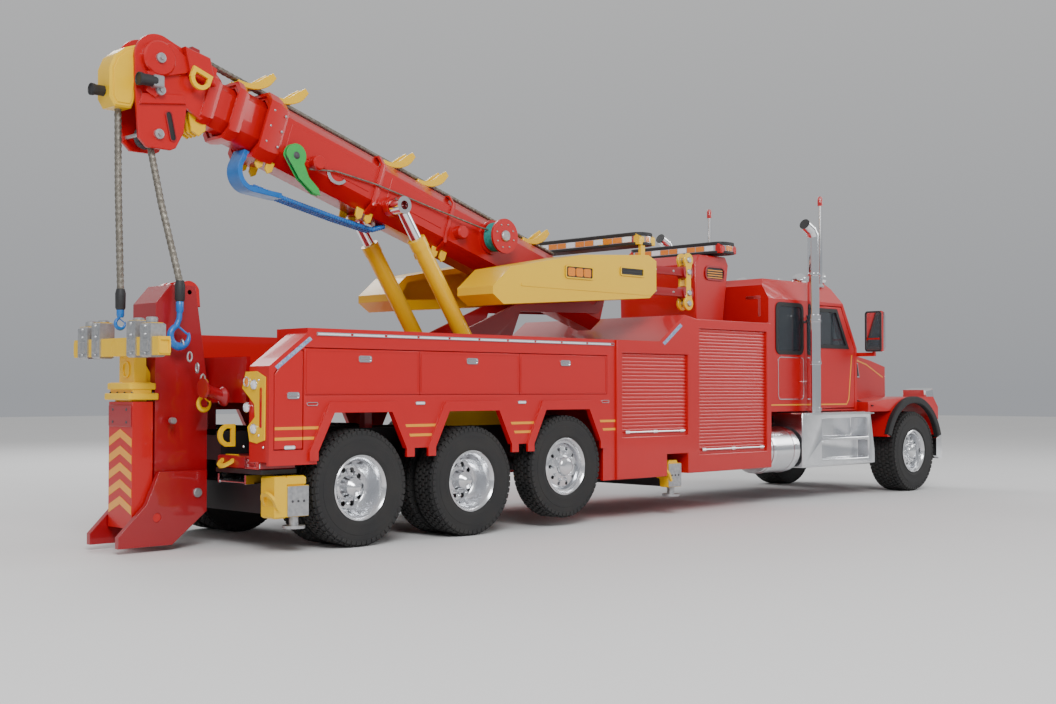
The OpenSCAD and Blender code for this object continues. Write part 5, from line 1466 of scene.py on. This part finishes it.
def make_seats():
    """Leather cushions and backs on plain pedestals."""
    for side, label in SIDES:
        y0, y1 = (0.20, 0.68) if side > 0 else (-0.68, -0.20)
        cushion = pillow((7.67, y0, 1.535), (8.19, y1, 1.665), 0.40, 5, 1)
        back = pillow((-0.07, y0 + 0.01, 0.0), (0.07, y1 - 0.01, 0.64), 0.40, 5, 2)
        back = moved(back, (7.745, 0, 1.665), x=(0.98, 0, 0.2), z=(-0.11, 0, 0.99))
        for name, shape in (("cushion", cushion), ("back", back)):
            made = put(f"seat_{name}_{label}", "root", "seat_leather", shape,
                       replaces=("cab_seats",))
    base = block((7.75, 0.27, 1.235), (8.15, 0.61, 1.54), 0.02)
    put("seat_pedestals", "root", "black_plastic", both_sides(base))


# ---------- main ----------
class TruckSizes(bpy.types.PropertyGroup):
    """Sizes of the fine pieces."""
    rope: bpy.props.FloatProperty(
        name="Rope", description="Diameter of the hoist ropes",
        default=0.060, unit="LENGTH")
    hose: bpy.props.FloatProperty(
        name="Hose", description="Diameter of the hoses under the boom",
        default=0.048, unit="LENGTH")
    slat: bpy.props.FloatProperty(
        name="Shutter slat", description="Height of one slat of the roll-up doors",
        default=0.038, unit="LENGTH")
    stripe: bpy.props.FloatProperty(
        name="Pinstripe", description="Height of one stripe along the body",
        default=0.026, unit="LENGTH")
    chain: bpy.props.FloatProperty(
        name="Chain", description="Thickness of the hook chain's links",
        default=0.018, unit="LENGTH")


class TruckColors(bpy.types.PropertyGroup):
    """Colours of the painted pieces, as linear red, green and blue."""
    body_red: bpy.props.FloatVectorProperty(
        name="Body red", description="Paint of the cab, body and boom",
        default=(0.56, 0.0008, 0.002),
        subtype="COLOR", size=3, min=0.0, max=1.0)
    dark_red: bpy.props.FloatVectorProperty(
        name="Dark red", description="Paint of the underlift and lower pieces",
        default=(0.36, 0.004, 0.010),
        subtype="COLOR", size=3, min=0.0, max=1.0)
    yellow: bpy.props.FloatVectorProperty(
        name="Yellow", description="Paint of the covers, arms and castings",
        default=(0.92, 0.56, 0.0005),
        subtype="COLOR", size=3, min=0.0, max=1.0)
    blue: bpy.props.FloatVectorProperty(
        name="Blue", description="Hooks and hoses",
        default=(0.005, 0.16, 0.55),
        subtype="COLOR", size=3, min=0.0, max=1.0)
    green: bpy.props.FloatVectorProperty(
        name="Green", description="Snatch block",
        default=(0.02, 0.42, 0.07),
        subtype="COLOR", size=3, min=0.0, max=1.0)
    teal: bpy.props.FloatVectorProperty(
        name="Teal", description="Rope on the winch drums",
        default=(0.02, 0.30, 0.27),
        subtype="COLOR", size=3, min=0.0, max=1.0)
    orange: bpy.props.FloatVectorProperty(
        name="Orange", description="Stripes and chevrons",
        default=(0.90, 0.34, 0.01),
        subtype="COLOR", size=3, min=0.0, max=1.0)


class TOW_OT_stage(bpy.types.Operator):
    """Sets the floor, lights and camera"""
    bl_idname = "tow.stage"
    bl_label = "Stage"

    def execute(self, context):
        make_stage()
        return {"FINISHED"}


class TOW_OT_finishes(bpy.types.Operator):
    """Gives the frame's nodes their finishes and rounded edges"""
    bl_idname = "tow.finishes"
    bl_label = "Finishes"

    def execute(self, context):
        make_finishes()
        return {"FINISHED"}


class TOW_OT_wheels(bpy.types.Operator):
    """Makes the tyres and rims"""
    bl_idname = "tow.wheels"
    bl_label = "Wheels"

    def execute(self, context):
        make_wheels()
        return {"FINISHED"}


class TOW_OT_body_sides(bpy.types.Operator):
    """Adds stripes, latches, lamps and reflectors along the body"""
    bl_idname = "tow.body_sides"
    bl_label = "Body sides"

    def execute(self, context):
        make_body_sides()
        return {"FINISHED"}


class TOW_OT_shutters(bpy.types.Operator):
    """Makes the slatted roll-up doors"""
    bl_idname = "tow.shutters"
    bl_label = "Shutters"

    def execute(self, context):
        make_shutters()
        return {"FINISHED"}


class TOW_OT_rear_panels(bpy.types.Operator):
    """Makes the lamp plates, steps and eyes at the rear"""
    bl_idname = "tow.rear_panels"
    bl_label = "Rear panels"

    def execute(self, context):
        make_rear_panels()
        return {"FINISHED"}


class TOW_OT_outriggers(bpy.types.Operator):
    """Adds end plates and hooks to the outrigger arms"""
    bl_idname = "tow.outriggers"
    bl_label = "Outriggers"

    def execute(self, context):
        make_outriggers()
        return {"FINISHED"}


class TOW_OT_underlift(bpy.types.Operator):
    """Adds chevrons, flanges, clamps and pins to the towing arm"""
    bl_idname = "tow.underlift"
    bl_label = "Underlift"

    def execute(self, context):
        make_underlift()
        return {"FINISHED"}


class TOW_OT_boom_head(bpy.types.Operator):
    """Makes the head plates, sheaves, rope housing and work lights"""
    bl_idname = "tow.boom_head"
    bl_label = "Boom head"

    def execute(self, context):
        make_boom_head()
        return {"FINISHED"}


class TOW_OT_boom_fittings(bpy.types.Operator):
    """Adds collars, rope guards, ropes and side fittings to the boom"""
    bl_idname = "tow.boom_fittings"
    bl_label = "Boom fittings"

    def execute(self, context):
        make_boom_fittings()
        return {"FINISHED"}


class TOW_OT_ropes(bpy.types.Operator):
    """Makes the hoist ropes and hooks"""
    bl_idname = "tow.ropes"
    bl_label = "Hoist ropes"

    def execute(self, context):
        make_ropes()
        return {"FINISHED"}


class TOW_OT_turret_trim(bpy.types.Operator):
    """Makes the lamp bars, recesses and arm ends"""
    bl_idname = "tow.turret_trim"
    bl_label = "Turret trim"

    def execute(self, context):
        make_turret_trim()
        return {"FINISHED"}


class TOW_OT_cab_trim(bpy.types.Operator):
    """Adds rubbers, glass, stripes, rails, posts and mirrors to the cab"""
    bl_idname = "tow.cab_trim"
    bl_label = "Cab trim"

    def execute(self, context):
        make_cab_trim()
        return {"FINISHED"}


class TOW_OT_hood_trim(bpy.types.Operator):
    """Adds vents, flares, headlamps and grille bars to the hood"""
    bl_idname = "tow.hood_trim"
    bl_label = "Hood trim"

    def execute(self, context):
        make_hood_trim()
        return {"FINISHED"}


class TOW_OT_side_metal(bpy.types.Operator):
    """Adds stack clamps, tank straps and step treads"""
    bl_idname = "tow.side_metal"
    bl_label = "Side metal"

    def execute(self, context):
        make_side_metal()
        return {"FINISHED"}


class TOW_OT_seats(bpy.types.Operator):
    """Makes the padded seats"""
    bl_idname = "tow.seats"
    bl_label = "Seats"

    def execute(self, context):
        make_seats()
        return {"FINISHED"}


OPERATORS = (
    TOW_OT_stage, TOW_OT_finishes, TOW_OT_wheels, TOW_OT_body_sides, TOW_OT_shutters,
    TOW_OT_rear_panels, TOW_OT_outriggers, TOW_OT_underlift, TOW_OT_boom_head,
    TOW_OT_boom_fittings, TOW_OT_ropes, TOW_OT_turret_trim, TOW_OT_cab_trim, TOW_OT_hood_trim,
    TOW_OT_side_metal, TOW_OT_seats,
)


class TOW_PT_panel(bpy.types.Panel):
    """Lists the steps that build the truck"""
    bl_idname = "TOW_PT_panel"
    bl_label = "Tow truck"
    bl_space_type = "VIEW_3D"
    bl_region_type = "UI"
    bl_category = "Tow truck"

    def draw(self, context):
        for group in (context.scene.tow_sizes, context.scene.tow_colors):
            for key in group.__annotations__:
                self.layout.prop(group, key)
        for step in OPERATORS:
            self.layout.operator(step.bl_idname)


CLASSES = (TruckSizes, TruckColors, *OPERATORS, TOW_PT_panel)


def register():
    """Adds the classes, and the sizes and colours to the scene."""
    for item in CLASSES:
        bpy.utils.register_class(item)
    bpy.types.Scene.tow_sizes = bpy.props.PointerProperty(type=TruckSizes)
    bpy.types.Scene.tow_colors = bpy.props.PointerProperty(type=TruckColors)


def unregister():
    """Takes them away again."""
    del bpy.types.Scene.tow_colors
    del bpy.types.Scene.tow_sizes
    for item in reversed(CLASSES):
        bpy.utils.unregister_class(item)


def main():
    """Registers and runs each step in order."""
    register()
    for step in OPERATORS:
        getattr(bpy.ops.tow, step.bl_idname.split(".")[1])()


if __name__ == "__main__":
    main()
